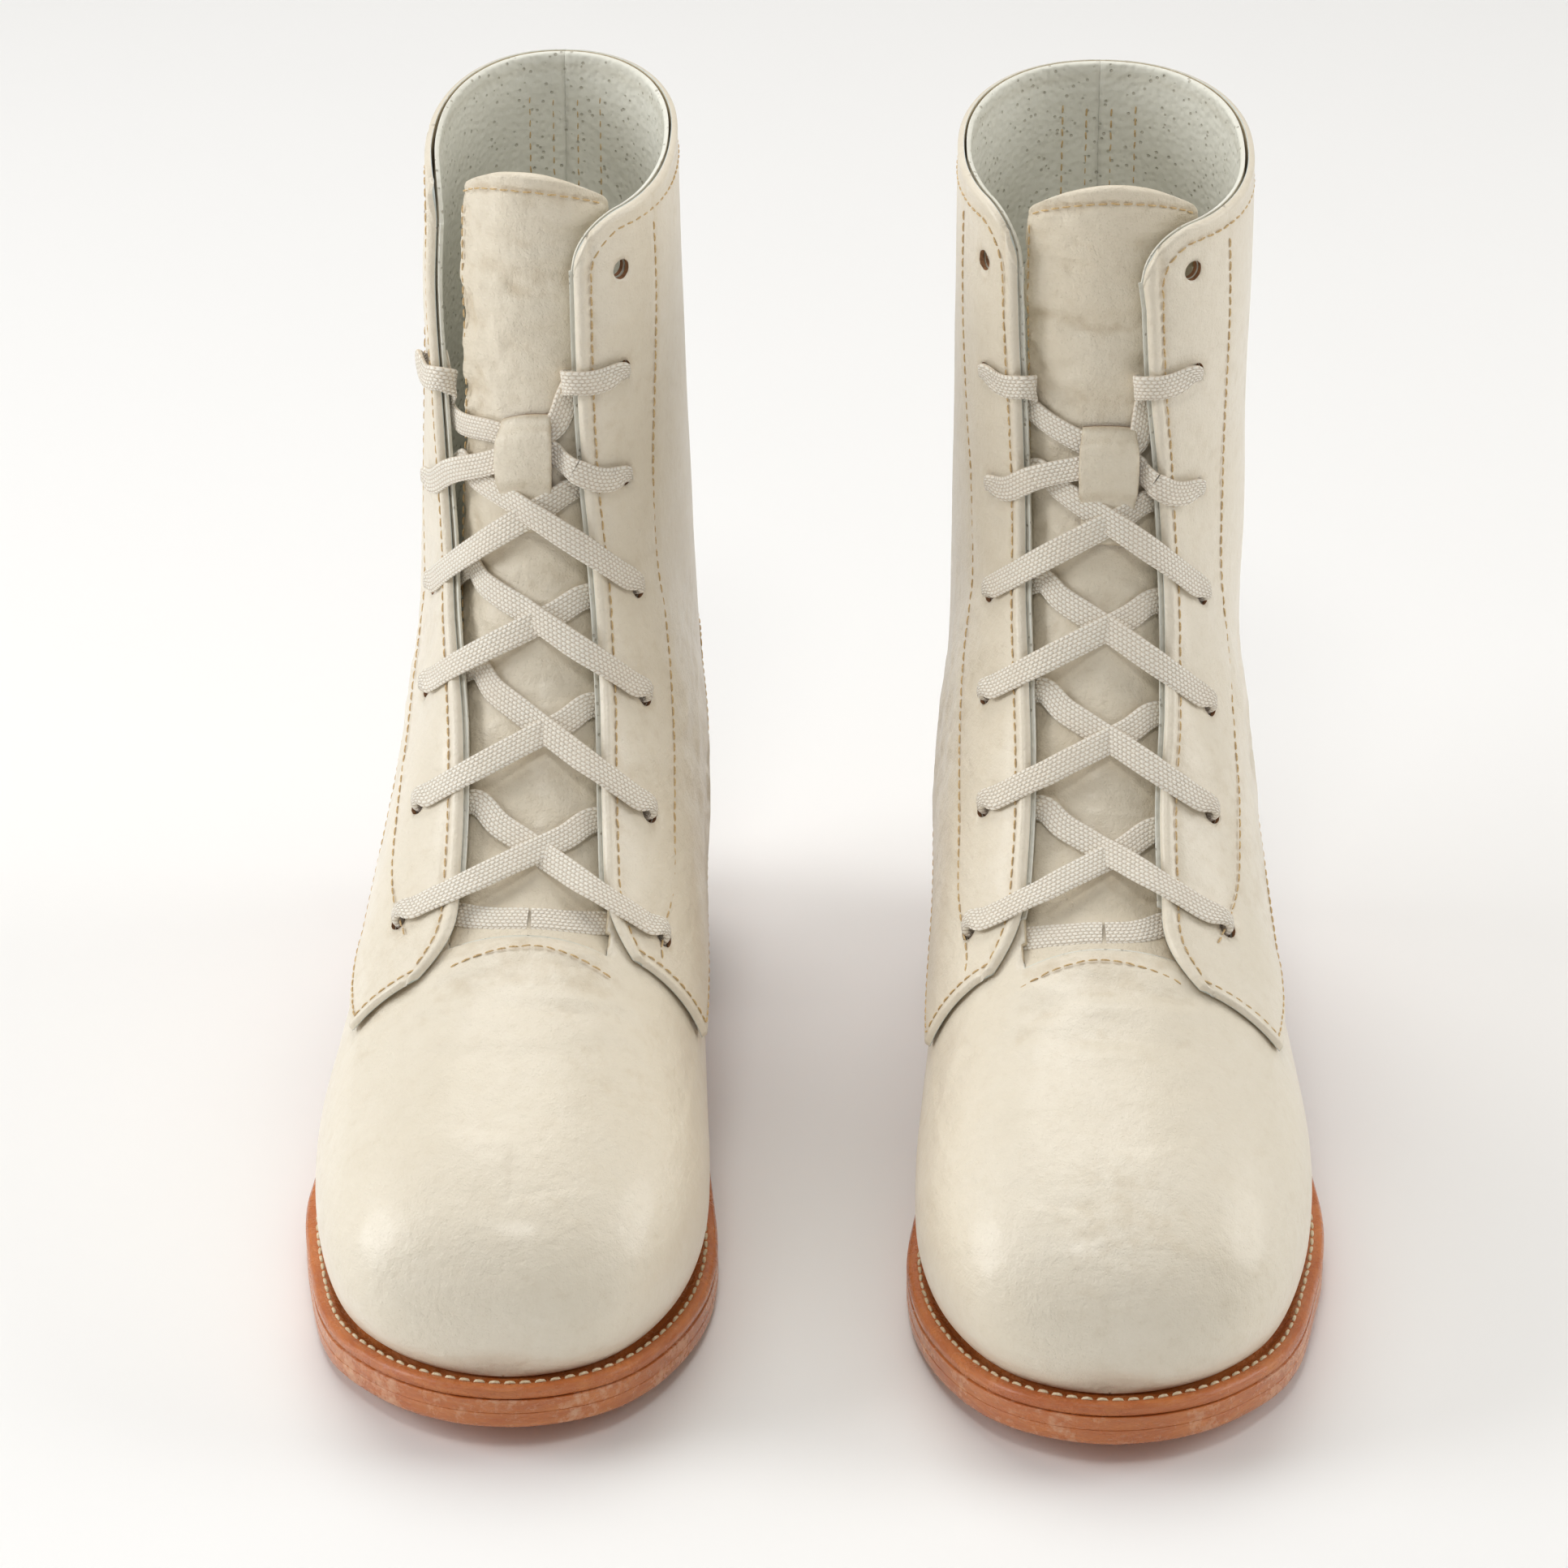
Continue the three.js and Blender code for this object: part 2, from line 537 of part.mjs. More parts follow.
// A place on a panel is a station and a share from the facing edge (0) to the back seam (1).
function panelShare(last, boot, side, [t, across]) {
  const reach = last.reachAt(t, side);
  return mix(facingDistance(boot, side, t) / reach, 1 - GAP / 2 / reach, across);
}

// The lower edge of a panel, from the facing round the tip and along to the back seam.
function lowerEdge(last, boot, side, edge, first, rear) {
  const place = (t) => {
    const front = facingDistance(boot, side, t) / last.reachAt(t, side);
    return [t, (last.shareAtHeight(t, side, edge) - front) / (1 - front)];
  };
  const [, tip] = place(rear);
  const upFront = [0, 1, 2, 3].map((k) => [mix(first, rear, k / 3), (tip * k) / 3]);
  let end = HEEL_BACK;
  const seamHeight = () => last.at(end, 1).point.z - featherHeight(HEEL_END);
  while (seamHeight() < edge(HEEL_END, side)) end += 0.01;
  const along = EDGE_STATIONS.map((t) => (
    place(t <= HEEL_BACK ? t : mix(HEEL_BACK, end, t - HEEL_BACK))
  ));
  return [...upFront, ...along, [end, 1]];
}

// A closed sheet from rows of places on a panel.
function panelGeometry(last, boot, side, skin, rows) {
  const sign = side === 'medial' ? 1 : -1;
  return sheetGeometry(rows.map((row) => row.map(([t, across]) => {
    const share = panelShare(last, boot, side, [t, across]);
    const fromEdge = (share - panelShare(last, boot, side, [t, 0])) * last.reachAt(t, side);
    const round = Math.max(COLLAR_CORNER - fromEdge, 0);
    const atCollar = t >= COLLAR - 1e-6;
    const drop = atCollar ? COLLAR_CORNER - Math.sqrt(COLLAR_CORNER ** 2 - round ** 2) : 0;
    const cell = skinCell(last, t, sign * share, skin);
    const lower = (point) => point.addScaledVector(UP, -drop);
    return { outer: lower(cell.outer), inner: lower(cell.inner) };
  })));
}
const UP = new THREE.Vector3(0, 0, 1);
const PANEL_ROWS = [0, 0.08, 0.17, 0.26, 0.35, 0.44, 0.52, 0.6, 0.68, 0.76, 0.84, 0.92, 1];
const EDGE_STATIONS = [8, 9, 10, 11, 11.8, 12.25, 12.52, 12.72, 12.86, 12.95];

const EYELET_STATIONS = [15.35, 14.1, 12.7, 11.2, 9.9, 8.67, 7.7];
const EYELET_INSETS = [12, 13.5, 14.5, 15.5, 15.5, 15.5, 18];

function eyelets(last, boot, side) {
  const sign = side === 'medial' ? 1 : -1;
  return EYELET_STATIONS.map((t, row) => {
    const distance = sign * (facingDistance(boot, side, t) + EYELET_INSETS[row]);
    return { t, distance, ...last.at(t, last.share(t, distance)) };
  });
}

// Punches the eyelets of one facing through a panel.
function punched(geometry, last, boot, side, facets) {
  let solid = toSolid(geometry);
  for (const { point, normal } of eyelets(last, boot, side)) {
    const punch = new THREE.CylinderGeometry(EYELET_DIAMETER / 2, EYELET_DIAMETER / 2, 12, facets);
    punch.applyQuaternion(new THREE.Quaternion().setFromUnitVectors(new THREE.Vector3(0, 1, 0), normal));
    punch.translate(...point.toArray());
    solid = solid.subtract(toSolid(punch));
  }
  return fromSolid(solid);
}

// The quarter and its lining, which share their rows above the lining's lower edge.
function quarterPair(last, boot, side) {
  const { first, last: rear } = TIPS[side];
  const foot = lowerEdge(last, boot, side, quarterEdge, first, rear);
  const liningStart = VAMP_LAPPED_END + 0.07;
  const liningFoot = lowerEdge(last, boot, side, liningEdge, liningStart, liningStart);
  const between = (a, b, u) => a.map(([t, across], j) => [mix(t, b[j][0], u), mix(across, b[j][1], u)]);
  const collar = foot.map((_, j) => [COLLAR, j / (foot.length - 1)]);
  const rows = PANEL_ROWS.map((u) => between(liningFoot, collar, u));
  const lap = [foot, between(foot, liningFoot, 0.5)];
  const quarter = panelGeometry(last, boot, side, QUARTER_SKIN, [...lap, ...rows]);
  const lining = panelGeometry(last, boot, side, SHAFT_LINING_SKIN, rows);
  return {
    quarter: punched(quarter, last, boot, side, 8),
    lining: punched(lining, last, boot, side, 7),
  };
}

// A band round the heel, from the inner side round the back to the outer side. Its points are
// found by casting rays out from an upright line that moves back from the waist to the heel.
function heelBandGeometry(last, target, skin, { start, top, columns = 22, rows = 3 }) {
  const caster = new THREE.Raycaster();
  const centre = 92 * alongFoot;
  const grid = range(columns).map((u) => {
    const c = 2 * u - 1;
    const sign = c < 0 ? 1 : -1;
    const straight = smoothStep(0, 0.55, 1 - Math.abs(c));
    const baseY = mix(start, centre, straight);
    const angle = (Math.PI / 2) * Math.min(Math.abs(c) / 0.55, 1);
    const direction = new THREE.Vector3(sign * Math.sin(angle), Math.cos(angle), 0).normalize();
    const side = sign > 0 ? 'medial' : 'lateral';
    const base = castSkin(caster, target, baseY, featherHeight(baseY) + 1, direction);
    const seatY = Math.min(base.point.y, HEEL_END);
    const seat = featherHeight(seatY);
    const leanAt = (z) => WING_SLANT * (z - seat) * (1 - straight);
    const topY = seatY - leanAt(featherHeight(seatY - 18) + top(seatY, side));
    const topZ = featherHeight(topY) + top(topY, side);
    return range(rows).map((v) => {
      const z = mix(seat + 0.6, topZ, v);
      const hit = castSkin(caster, target, baseY - leanAt(z), z, direction);
      return {
        outer: hit.point.clone().addScaledVector(hit.normal, skin.outer),
        inner: hit.point.clone().addScaledVector(hit.normal, skin.inner),
      };
    });
  });
  return sheetGeometry(grid);
}

function castSkin(caster, target, y, z, direction) {
  caster.set(new THREE.Vector3(0.01, y, z), direction);
  const hits = caster.intersectObject(target);
  const hit = hits[hits.length - 1];
  const { position, normal } = target.geometry.attributes;
  const corners = [hit.face.a, hit.face.b, hit.face.c];
  const [pa, pb, pc] = corners.map((k) => new THREE.Vector3().fromBufferAttribute(position, k));
  const [na, nb, nc] = corners.map((k) => new THREE.Vector3().fromBufferAttribute(normal, k));
  const smooth = THREE.Triangle.getInterpolation(
    hit.point, pa, pb, pc, na, nb, nc, new THREE.Vector3(),
  );
  return { point: hit.point, normal: smooth.normalize() };
}

// ---------------------------------------------------------------- tongue, keeper and lace

const TONGUE_FOOT = 6.62;
const TONGUE_END = 16.55;
const tongueOuter = (t) => mix(VAMP_SKIN.inner - GAP, TONGUE_TOP, smoothStep(THROAT, THROAT + 0.5, t));

function tongueGeometry(last) {
  const rowList = [TONGUE_FOOT, 7, 7.5, 8.2, 9, 9.9, 10.8, 11.8, 12.8, 13.8, 14.8, 15.8, TONGUE_END];
  const grid = rowList.map((t) => range(8).map((u) => {
    const half = TONGUE_HALF_WIDTH * (1 - 0.08 * smoothStep(15.8, TONGUE_END, t));
    const share = last.share(t, mix(-half, half, u));
    const outer = tongueOuter(t);
    return skinCell(last, t, share, { outer, inner: outer - TONGUE_THICKNESS });
  }));
  return sheetGeometry(grid);
}

// The loop on the tongue that the lace passes behind: sewn down at both ends, arched between.
// Each row is a station and how far the loop is raised there.
const KEEPER_PROFILE = [
  [11.68, 0], [11.98, 0], [12.37, 0], [12.47, 1], [12.73, 1], [12.98, 1], [13.13, 0], [13.23, 0],
];
const KEEPER_THICKNESS = 1.2;
const KEEPER_CROSSING = 12.71;

function keeperGeometry(last, boot) {
  const grid = KEEPER_PROFILE.map(([t, raised]) => {
    const inner = TONGUE_TOP + (2 + 9 * raised) * GAP + 2 * LACE_THICKNESS * raised;
    return range(2).map((v) => {
      const share = last.share(t, boot.keeperAt + KEEPER_WIDTH * (v - 0.5));
      return skinCell(last, t, share, { outer: inner + KEEPER_THICKNESS, inner });
    });
  });
  return sheetGeometry(grid);
}

// The lace's middle line from the centre of the bottom bar up one side, as stations, distances
// from the front line, offsets and shares of its full width. It comes out of each eyelet, crosses
// over its own facing's edge, under the other's and out of the next eyelet, and is tucked in.
function laceHalf(last, boot, startSide) {
  const rows = { medial: eyelets(last, boot, 'medial'), lateral: eyelets(last, boot, 'lateral') };
  const other = { medial: 'lateral', lateral: 'medial' };
  const edge = (side, t) => facingDistance(boot, side, t) * (side === 'medial' ? 1 : -1);
  const path = [];
  const add = (t, distance, offset, width = 1) => path.push({ t, distance, offset, width });
  let side = startSide;
  const throughEyelet = (row) => {
    const { t, distance } = rows[side][row];
    const out = Math.sign(distance);
    add(t - 0.08, distance - out * 6, LACE_UNDER);
    add(t - 0.02, distance - out * 1.6, LACE_UNDER, 0.55);
    add(t - 0.01, distance, LACE_UNDER + 0.9, 0.45);
    add(t, distance + out * 0.3, (LACE_UNDER + LACE_OVER) / 2, 0.45);
    add(t + 0.01, distance, LACE_OVER - 0.9, 0.45);
    add(t + 0.02, distance - out * 1.6, LACE_OVER + 0.3, 0.55);
  };
  const bar = EYELET_STATIONS[6] - 0.1;
  for (const share of [0, 0.4, 0.8, 1.2]) add(bar, edge(side, bar) * share, LACE_UNDER);
  throughEyelet(6);
  for (let row = 6; row > 1; row -= 1) {
    const [from, to] = [rows[side][row], rows[other[side]][row - 1]];
    const rise = (share) => mix(from.t, to.t, share);
    const onTop = (side === 'lateral') === boot.outerLaceOnTop;
    const behindKeeper = row === 2;
    const overKeeper = row === 3 ? 0.16 : 0;
    const cross = behindKeeper ? KEEPER_CROSSING : rise(0.5) - overKeeper;
    const overEdge = behindKeeper ? 12.58 : rise(0.26);
    const underEdge = behindKeeper ? 13.13 : rise(0.74);
    const below = LACE_UNDER + (overKeeper > 0 ? 2.1 : 0);
    const middle = onTop ? below + LACE_THICKNESS + 1.5 * GAP : below;
    const rim = edge(side, overEdge);
    const out = Math.sign(rim);
    const farRim = edge(other[side], underEdge);
    const centre = (edge(side, cross) + edge(other[side], cross)) / 2;
    const crossing = behindKeeper ? boot.keeperAt : centre;
    add(mix(from.t, overEdge, 0.4), mix(from.distance, rim, 0.4), LACE_OVER);
    add(mix(from.t, overEdge, 0.8), mix(from.distance, rim, 0.8), LACE_OVER);
    const room = (Math.abs(rim - boot.keeperAt) - KEEPER_WIDTH * 0.56) * 0.4;
    add(mix(overEdge, cross, 0.15), rim - out * (behindKeeper ? Math.min(room, 3) : 3), LACE_OVER);
    if (behindKeeper) add(cross, crossing + out * KEEPER_WIDTH * 0.56, middle + GAP);
    else add(mix(overEdge, cross, 0.6), mix(rim - out * 3, crossing, 0.5), mix(LACE_OVER, middle, 0.6));
    add(cross, crossing, middle);
    if (behindKeeper) {
      const past = crossing - out * KEEPER_WIDTH * 0.56;
      add(cross, past, LACE_UNDER);
      for (const share of [0.33, 0.67]) {
        add(mix(cross, underEdge, share), mix(past, farRim, share), LACE_UNDER);
      }
    }
    else add(mix(cross, underEdge, 0.5), mix(crossing, farRim, 0.5), below);
    side = other[side];
    add(underEdge, farRim * (behindKeeper ? 1.1 : 0.9), LACE_UNDER);
    add(mix(underEdge, to.t, 0.4), mix(farRim, to.distance, 0.4), LACE_UNDER);
    throughEyelet(row - 1);
  }
  const last2 = rows[side][1];
  const out = Math.sign(last2.distance);
  const rim = edge(side, last2.t - 0.2);
  add(last2.t - 0.12, last2.distance - out * 7, LACE_OVER);
  add(last2.t - 0.2, rim + out * 2, LACE_OVER);
  add(last2.t - 0.24, rim - out * 1.4, LACE_OVER);
  add(last2.t - 0.28, rim - out * 3, (LACE_OVER + LACE_UNDER) / 2);
  add(last2.t - 0.32, rim - out * 1.4, LACE_UNDER);
  add(last2.t - 0.36, rim + out * 3, LACE_UNDER);
  add(last2.t - 0.6, rim + out * 12, LACE_UNDER);
  add(last2.t - 0.9, rim + out * 22, LACE_UNDER - 0.3, 0.8);
  add(last2.t - 1.05, rim + out * 27, LACE_UNDER - 0.8, 0.3);
  return path;
}

// The path of one half as points in space, each with the direction up the boot that its width takes.
function laceTrack(last, boot, side) {
  const marks = laceHalf(last, boot, side).map(({ t, distance, offset, width }) => {
    const { point } = last.at(t, last.share(t, distance), offset);
    const above = last.at(t + 0.1, last.share(t + 0.1, distance), offset).point;
    return { point, up: above.sub(point).normalize(), width };
  });
  return marks.map((mark, i) => {
    const before = marks[Math.max(i - 1, 0)].point;
    const after = marks[Math.min(i + 1, marks.length - 1)].point;
    return { ...mark, tangent: after.clone().sub(before).normalize() };
  });
}

const flipped = (station) => ({ ...station, tangent: station.tangent.clone().negate() });

function laceGeometry(last, boot) {
  const medial = laceTrack(last, boot, 'medial');
  const lateral = laceTrack(last, boot, 'lateral').slice(1).reverse().map(flipped);
  const sections = [...lateral, ...medial].map(({ point, tangent, up, width }) => {
    const wide = up.clone().addScaledVector(tangent, -up.dot(tangent)).normalize();
    const thick = new THREE.Vector3().crossVectors(tangent, wide);
    const corner = (a, b) => point.clone()
      .addScaledVector(wide, (a * LACE_WIDTH * width) / 2)
      .addScaledVector(thick, (b * LACE_THICKNESS) / 2);
    return [corner(-1, -1), corner(1, -1), corner(1, 1), corner(-1, 1)];
  });
  const positions = sections.flatMap((section) => section.flatMap((v) => v.toArray()));
  const faces = [0, 1, 2, 0, 2, 3];
  for (let k = 0; k < sections.length - 1; k += 1) {
    for (let side = 0; side < 4; side += 1) {
      const a = 4 * k + side;
      const b = 4 * k + ((side + 1) % 4);
      faces.push(a, a + 4, b, b, a + 4, b + 4);
    }
  }
  const end = 4 * (sections.length - 1);
  faces.push(end, end + 2, end + 1, end, end + 3, end + 2);
  const geometry = new THREE.BufferGeometry();
  geometry.setAttribute('position', new THREE.Float32BufferAttribute(positions, 3));
  geometry.setIndex(faces);
  return facingOut(geometry);
}

// The stiff tip on each end of the lace, tucked between the tongue and the lining.
function laceTipGeometry(last, boot, side) {
  const track = laceTrack(last, boot, side);
  const { point, tangent } = track[track.length - 1];
  const tip = new THREE.CylinderGeometry(
    LACE_TIP_DIAMETER / 2, LACE_TIP_DIAMETER / 2, LACE_TIP_LENGTH, 8,
  );
  tip.applyQuaternion(new THREE.Quaternion().setFromUnitVectors(new THREE.Vector3(0, 1, 0), tangent));
  const middle = point.clone().addScaledVector(tangent, LACE_TIP_LENGTH / 2 + GAP);
  tip.translate(...middle.toArray());
  return facingOut(tip);
}

// ---------------------------------------------------------------- bottom pieces

const over = (base, height) => (y) => base(y) + height;
const OUTSOLE_TOP = OUTSOLE_THICKNESS;
const MIDSOLE_BOTTOM = OUTSOLE_TOP + GAP;
const MIDSOLE_TOP = MIDSOLE_BOTTOM + MIDSOLE_THICKNESS;
const WELT_BOTTOM = MIDSOLE_TOP + GAP;
const WELT_TOP = WELT_BOTTOM + WELT_THICKNESS;
const CORK_TOP = WELT_BOTTOM + CORK_THICKNESS;
const SHANK_BOTTOM = CORK_TOP + GAP;
const INSOLE_BOTTOM = Math.max(SHANK_BOTTOM + SHANK_THICKNESS, WELT_TOP) + GAP;
const SOCK_BOTTOM = INSOLE_BOTTOM + INSOLE_THICKNESS + GAP;
const WELT_INSIDE = -3.2;
const INSIDE_LINING = FOOT_LINING_SKIN.inner - 2 * GAP;
const HEEL_BREAST = 64 * alongFoot;
const HEEL_LIFTS = 3;
const TOP_PIECE_THICKNESS = 6.5;
const HEEL_TAPER = 0.9;         // how much each lift is smaller all round than the one above

function layer(offset, bottom, thickness) {
  return plateGeometry({
    offset, bottom: over(soleHeight, bottom), top: over(soleHeight, bottom + thickness),
  });
}

function shankGeometry() {
  const [from, to] = [-28 * alongFoot, 88 * alongFoot];
  const grid = range(12).map((u) => {
    const y = mix(from, to, u);
    const half = (SHANK_WIDTH / 2) * (u === 0 || u === 1 ? 0.6 : 1);
    return [-half, half].map((x) => ({
      outer: new THREE.Vector3(x, y, soleHeight(y) + SHANK_BOTTOM + SHANK_THICKNESS),
      inner: new THREE.Vector3(x, y, soleHeight(y) + SHANK_BOTTOM),
    }));
  });
  return sheetGeometry(grid);
}

// The stacked heel: lifts of equal thickness over a rubber top piece. The first one's upper face
// follows the slope of the seat.
function heelLayer(level) {
  const liftThickness = (HEEL_HEIGHT - TOP_PIECE_THICKNESS) / HEEL_LIFTS;
  const topOf = (k) => HEEL_HEIGHT - k * liftThickness;
  const isTopPiece = level === HEEL_LIFTS;
  return plateGeometry({
    offset: WELT_WIDTH - 1.2 - HEEL_TAPER * level,
    from: HEEL_BREAST + 0.8 * level,
    rows: 14,
    bottom: () => (isTopPiece ? 0 : topOf(level + 1)),
    top: (y) => (level === 0 ? soleHeight(y) : topOf(level)) - GAP,
  });
}

// ---------------------------------------------------------------- materials and assembly

const COLOURS = {
  leather: { color: 0xe6dcc6, roughness: 0.42, metalness: 0 },
  tongueLeather: { color: 0xdfd2b6, roughness: 0.5, metalness: 0 },
  lining: { color: 0xc3c3b6, roughness: 0.8, metalness: 0 },
  welt: { color: 0xa8622f, roughness: 0.35, metalness: 0 },
  sole: { color: 0xbf7a48, roughness: 0.35, metalness: 0 },
  heel: { color: 0xb0703f, roughness: 0.4, metalness: 0 },
  rubber: { color: 0x3a2a20, roughness: 0.85, metalness: 0 },
  board: { color: 0xcaa676, roughness: 0.8, metalness: 0 },
  cork: { color: 0x8f6a44, roughness: 0.95, metalness: 0 },
  steel: { color: 0x9a9da0, roughness: 0.35, metalness: 1 },
  lace: { color: 0xeadfce, roughness: 0.9, metalness: 0 },
  tip: { color: 0xd8cdb8, roughness: 0.3, metalness: 0 },
};

function buildBoot(boot) {
  const last = new Last(boot.spread);
  const target = last.rayTarget();
  const group = new THREE.Group();
  const add = (name, geometry, colour) => {
    const mesh = new THREE.Mesh(geometry, new THREE.MeshStandardMaterial(COLOURS[colour]));
    mesh.name = `${boot.side}_${name}`;
    group.add(mesh);
  };
  add('outsole', layer(WELT_WIDTH, 0, OUTSOLE_THICKNESS), 'sole');
  add('midsole', layer(WELT_WIDTH, MIDSOLE_BOTTOM, MIDSOLE_THICKNESS), 'sole');
  add('welt', ringGeometry({
    outside: WELT_WIDTH, inside: WELT_INSIDE,
    bottom: over(soleHeight, WELT_BOTTOM), top: over(soleHeight, WELT_TOP),
  }), 'welt');
  add('cork_filler', layer(WELT_INSIDE - 3 * GAP, WELT_BOTTOM, CORK_THICKNESS), 'cork');
  add('shank', shankGeometry(), 'steel');
  add('insole', layer(INSIDE_LINING, INSOLE_BOTTOM, INSOLE_THICKNESS), 'board');
  add('sock_lining', layer(INSIDE_LINING - 0.6, SOCK_BOTTOM, SOCK_THICKNESS), 'lining');
  for (let level = 0; level < HEEL_LIFTS; level += 1) {
    add(`heel_lift_${level + 1}`, heelLayer(level), 'heel');
  }
  add('heel_top_piece', heelLayer(HEEL_LIFTS), 'rubber');

  add('vamp', vampGeometry(last), 'leather');
  add('toe_puff', toePuffGeometry(last), 'board');
  add('vamp_lining', vampLiningGeometry(last), 'lining');
  const bandStart = (WING_FOOT + 2 * GAP) * alongFoot;
  add('heel_cover', heelBandGeometry(last, target, VAMP_SKIN, {
    start: bandStart, top: lappedEdge,
  }), 'leather');
  add('heel_counter', heelBandGeometry(last, target, STIFFENER_SKIN, {
    start: bandStart, top: lappedEdge,
  }), 'board');
  add('counter_lining', heelBandGeometry(last, target, FOOT_LINING_SKIN, {
    start: bandStart, top: lappedEdge,
  }), 'lining');
  for (const side of ['medial', 'lateral']) {
    const { quarter, lining } = quarterPair(last, boot, side);
    add(`quarter_${side}`, quarter, 'leather');
    add(`quarter_lining_${side}`, lining, 'lining');
  }
  add('tongue', tongueGeometry(last), 'tongueLeather');
  add('tongue_keeper', keeperGeometry(last, boot), 'tongueLeather');
  add('lace', laceGeometry(last, boot), 'lace');
  for (const side of ['medial', 'lateral']) {
    add(`lace_tip_${side}`, laceTipGeometry(last, boot, side), 'tip');
  }
  group.rotation.z = THREE.MathUtils.degToRad(boot.turn);
  group.position.set(boot.x, boot.y, 0);
  if (boot.side === 'left') group.scale.x = -1;
  return group;
}

// The pair's origin is the middle of its box, on the ground.
const pair = new THREE.Group();
for (const boot of BOOTS) pair.add(buildBoot(boot));
const box = new THREE.Box3().setFromObject(pair, true);
const middle = box.getCenter(new THREE.Vector3());
pair.position.set(-middle.x, -middle.y, -box.min.z);

export default pair;
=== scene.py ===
# A pair of high lace-up derby boots in cream leather on welted, natural leather soles.
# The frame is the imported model's: metres, +Z up, toes to -Y. Each boot is worked out in
# millimetres in its own frame, as a right boot, and then set down where it stands.
import math
import bpy
import numpy as np
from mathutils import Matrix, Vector


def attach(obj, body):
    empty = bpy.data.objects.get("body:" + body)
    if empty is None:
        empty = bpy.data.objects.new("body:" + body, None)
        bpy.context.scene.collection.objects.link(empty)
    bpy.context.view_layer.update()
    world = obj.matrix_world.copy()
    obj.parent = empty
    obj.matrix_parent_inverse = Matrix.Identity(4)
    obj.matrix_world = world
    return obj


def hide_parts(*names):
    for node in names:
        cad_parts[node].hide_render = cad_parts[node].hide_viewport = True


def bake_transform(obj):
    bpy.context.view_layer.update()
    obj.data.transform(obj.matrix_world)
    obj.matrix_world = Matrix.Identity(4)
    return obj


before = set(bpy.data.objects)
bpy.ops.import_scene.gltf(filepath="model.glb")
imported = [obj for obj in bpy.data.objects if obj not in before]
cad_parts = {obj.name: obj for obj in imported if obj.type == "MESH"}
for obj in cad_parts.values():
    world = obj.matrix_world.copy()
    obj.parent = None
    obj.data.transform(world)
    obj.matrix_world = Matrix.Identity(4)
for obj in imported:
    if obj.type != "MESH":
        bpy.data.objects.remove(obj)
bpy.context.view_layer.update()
MM = 0.001

# ---------------------------------------------------------------- camera, light and floor

PAIR_MIDDLE = (-7.405, -1.397)      # where the middle of the pair stands, in mm


def set_camera():
    tilt, reach = math.radians(29.38), 1.4
    data = bpy.data.cameras.new("camera")
    data.lens, data.sensor_width = 131.72, 36
    data.shift_y = -0.0048
    camera = bpy.data.objects.new("camera", data)
    camera.location = (
        PAIR_MIDDLE[0] * MM,
        PAIR_MIDDLE[1] * MM - reach * math.cos(tilt),
        0.110 + reach * math.sin(tilt),
    )
    camera.rotation_euler = (math.pi / 2 - tilt, 0, 0)
    bpy.context.collection.objects.link(camera)
    bpy.context.scene.camera = camera


def set_lamp(name, place, aim, size, power, colour=(1, 1, 1)):
    data = bpy.data.lights.new(name, "AREA")
    data.shape, data.size, data.energy, data.color = "DISK", size, power, colour
    lamp = bpy.data.objects.new(name, data)
    lamp.location = place
    lamp.rotation_euler = (Vector(aim) - Vector(place)).to_track_quat("-Z", "Y").to_euler()
    bpy.context.collection.objects.link(lamp)


set_camera()
set_lamp("overhead", (-0.15, 0.7, 1.6), (0, 0, 0.05), 1.2, 12.5, (1, 0.985, 0.96))
set_lamp("left_window", (-1.5, -0.1, 0.75), (0, 0, 0.12), 1.0, 13.0, (0.98, 0.99, 1))
set_lamp("right_window", (1.5, 0.1, 0.75), (0, 0, 0.12), 1.0, 9.0, (1, 0.99, 0.97))
set_lamp("toe_glow", (-0.12, -0.85, 1.45), (0, -0.1, 0.06), 0.3, 3.6, (1, 0.99, 0.97))
scene = bpy.context.scene
scene.view_settings.view_transform = "Standard"
scene.world = bpy.data.worlds.new("studio")
scene.world.use_nodes = True
scene.world.node_tree.nodes["Background"].inputs[0].default_value = (1, 0.995, 0.985, 1)
scene.world.node_tree.nodes["Background"].inputs[1].default_value = 0.33

# ---------------------------------------------------------------- small tools


def srgb(*rgb):
    scaled = [value / 255 for value in rgb]
    return tuple(v / 12.92 if v < 0.04045 else ((v + 0.055) / 1.055) ** 2.4 for v in scaled) + (1,)


def mix(a, b, u):
    return a + (b - a) * u


def smooth_step(low, high, value):
    u = np.clip((np.asarray(value, float) - low) / (high - low), 0, 1)
    return u * u * (3 - 2 * u)


def bell(value, middle, width):
    return np.exp(-(((value - middle) / width) ** 2))


def unit(vectors):
    return vectors / np.maximum(np.linalg.norm(vectors, axis=-1, keepdims=True), 1e-9)


def run_length(points):
    steps = np.linalg.norm(np.diff(points, axis=0), axis=-1)
    return np.concatenate([np.zeros((1,) + steps.shape[1:]), np.cumsum(steps, axis=0)])


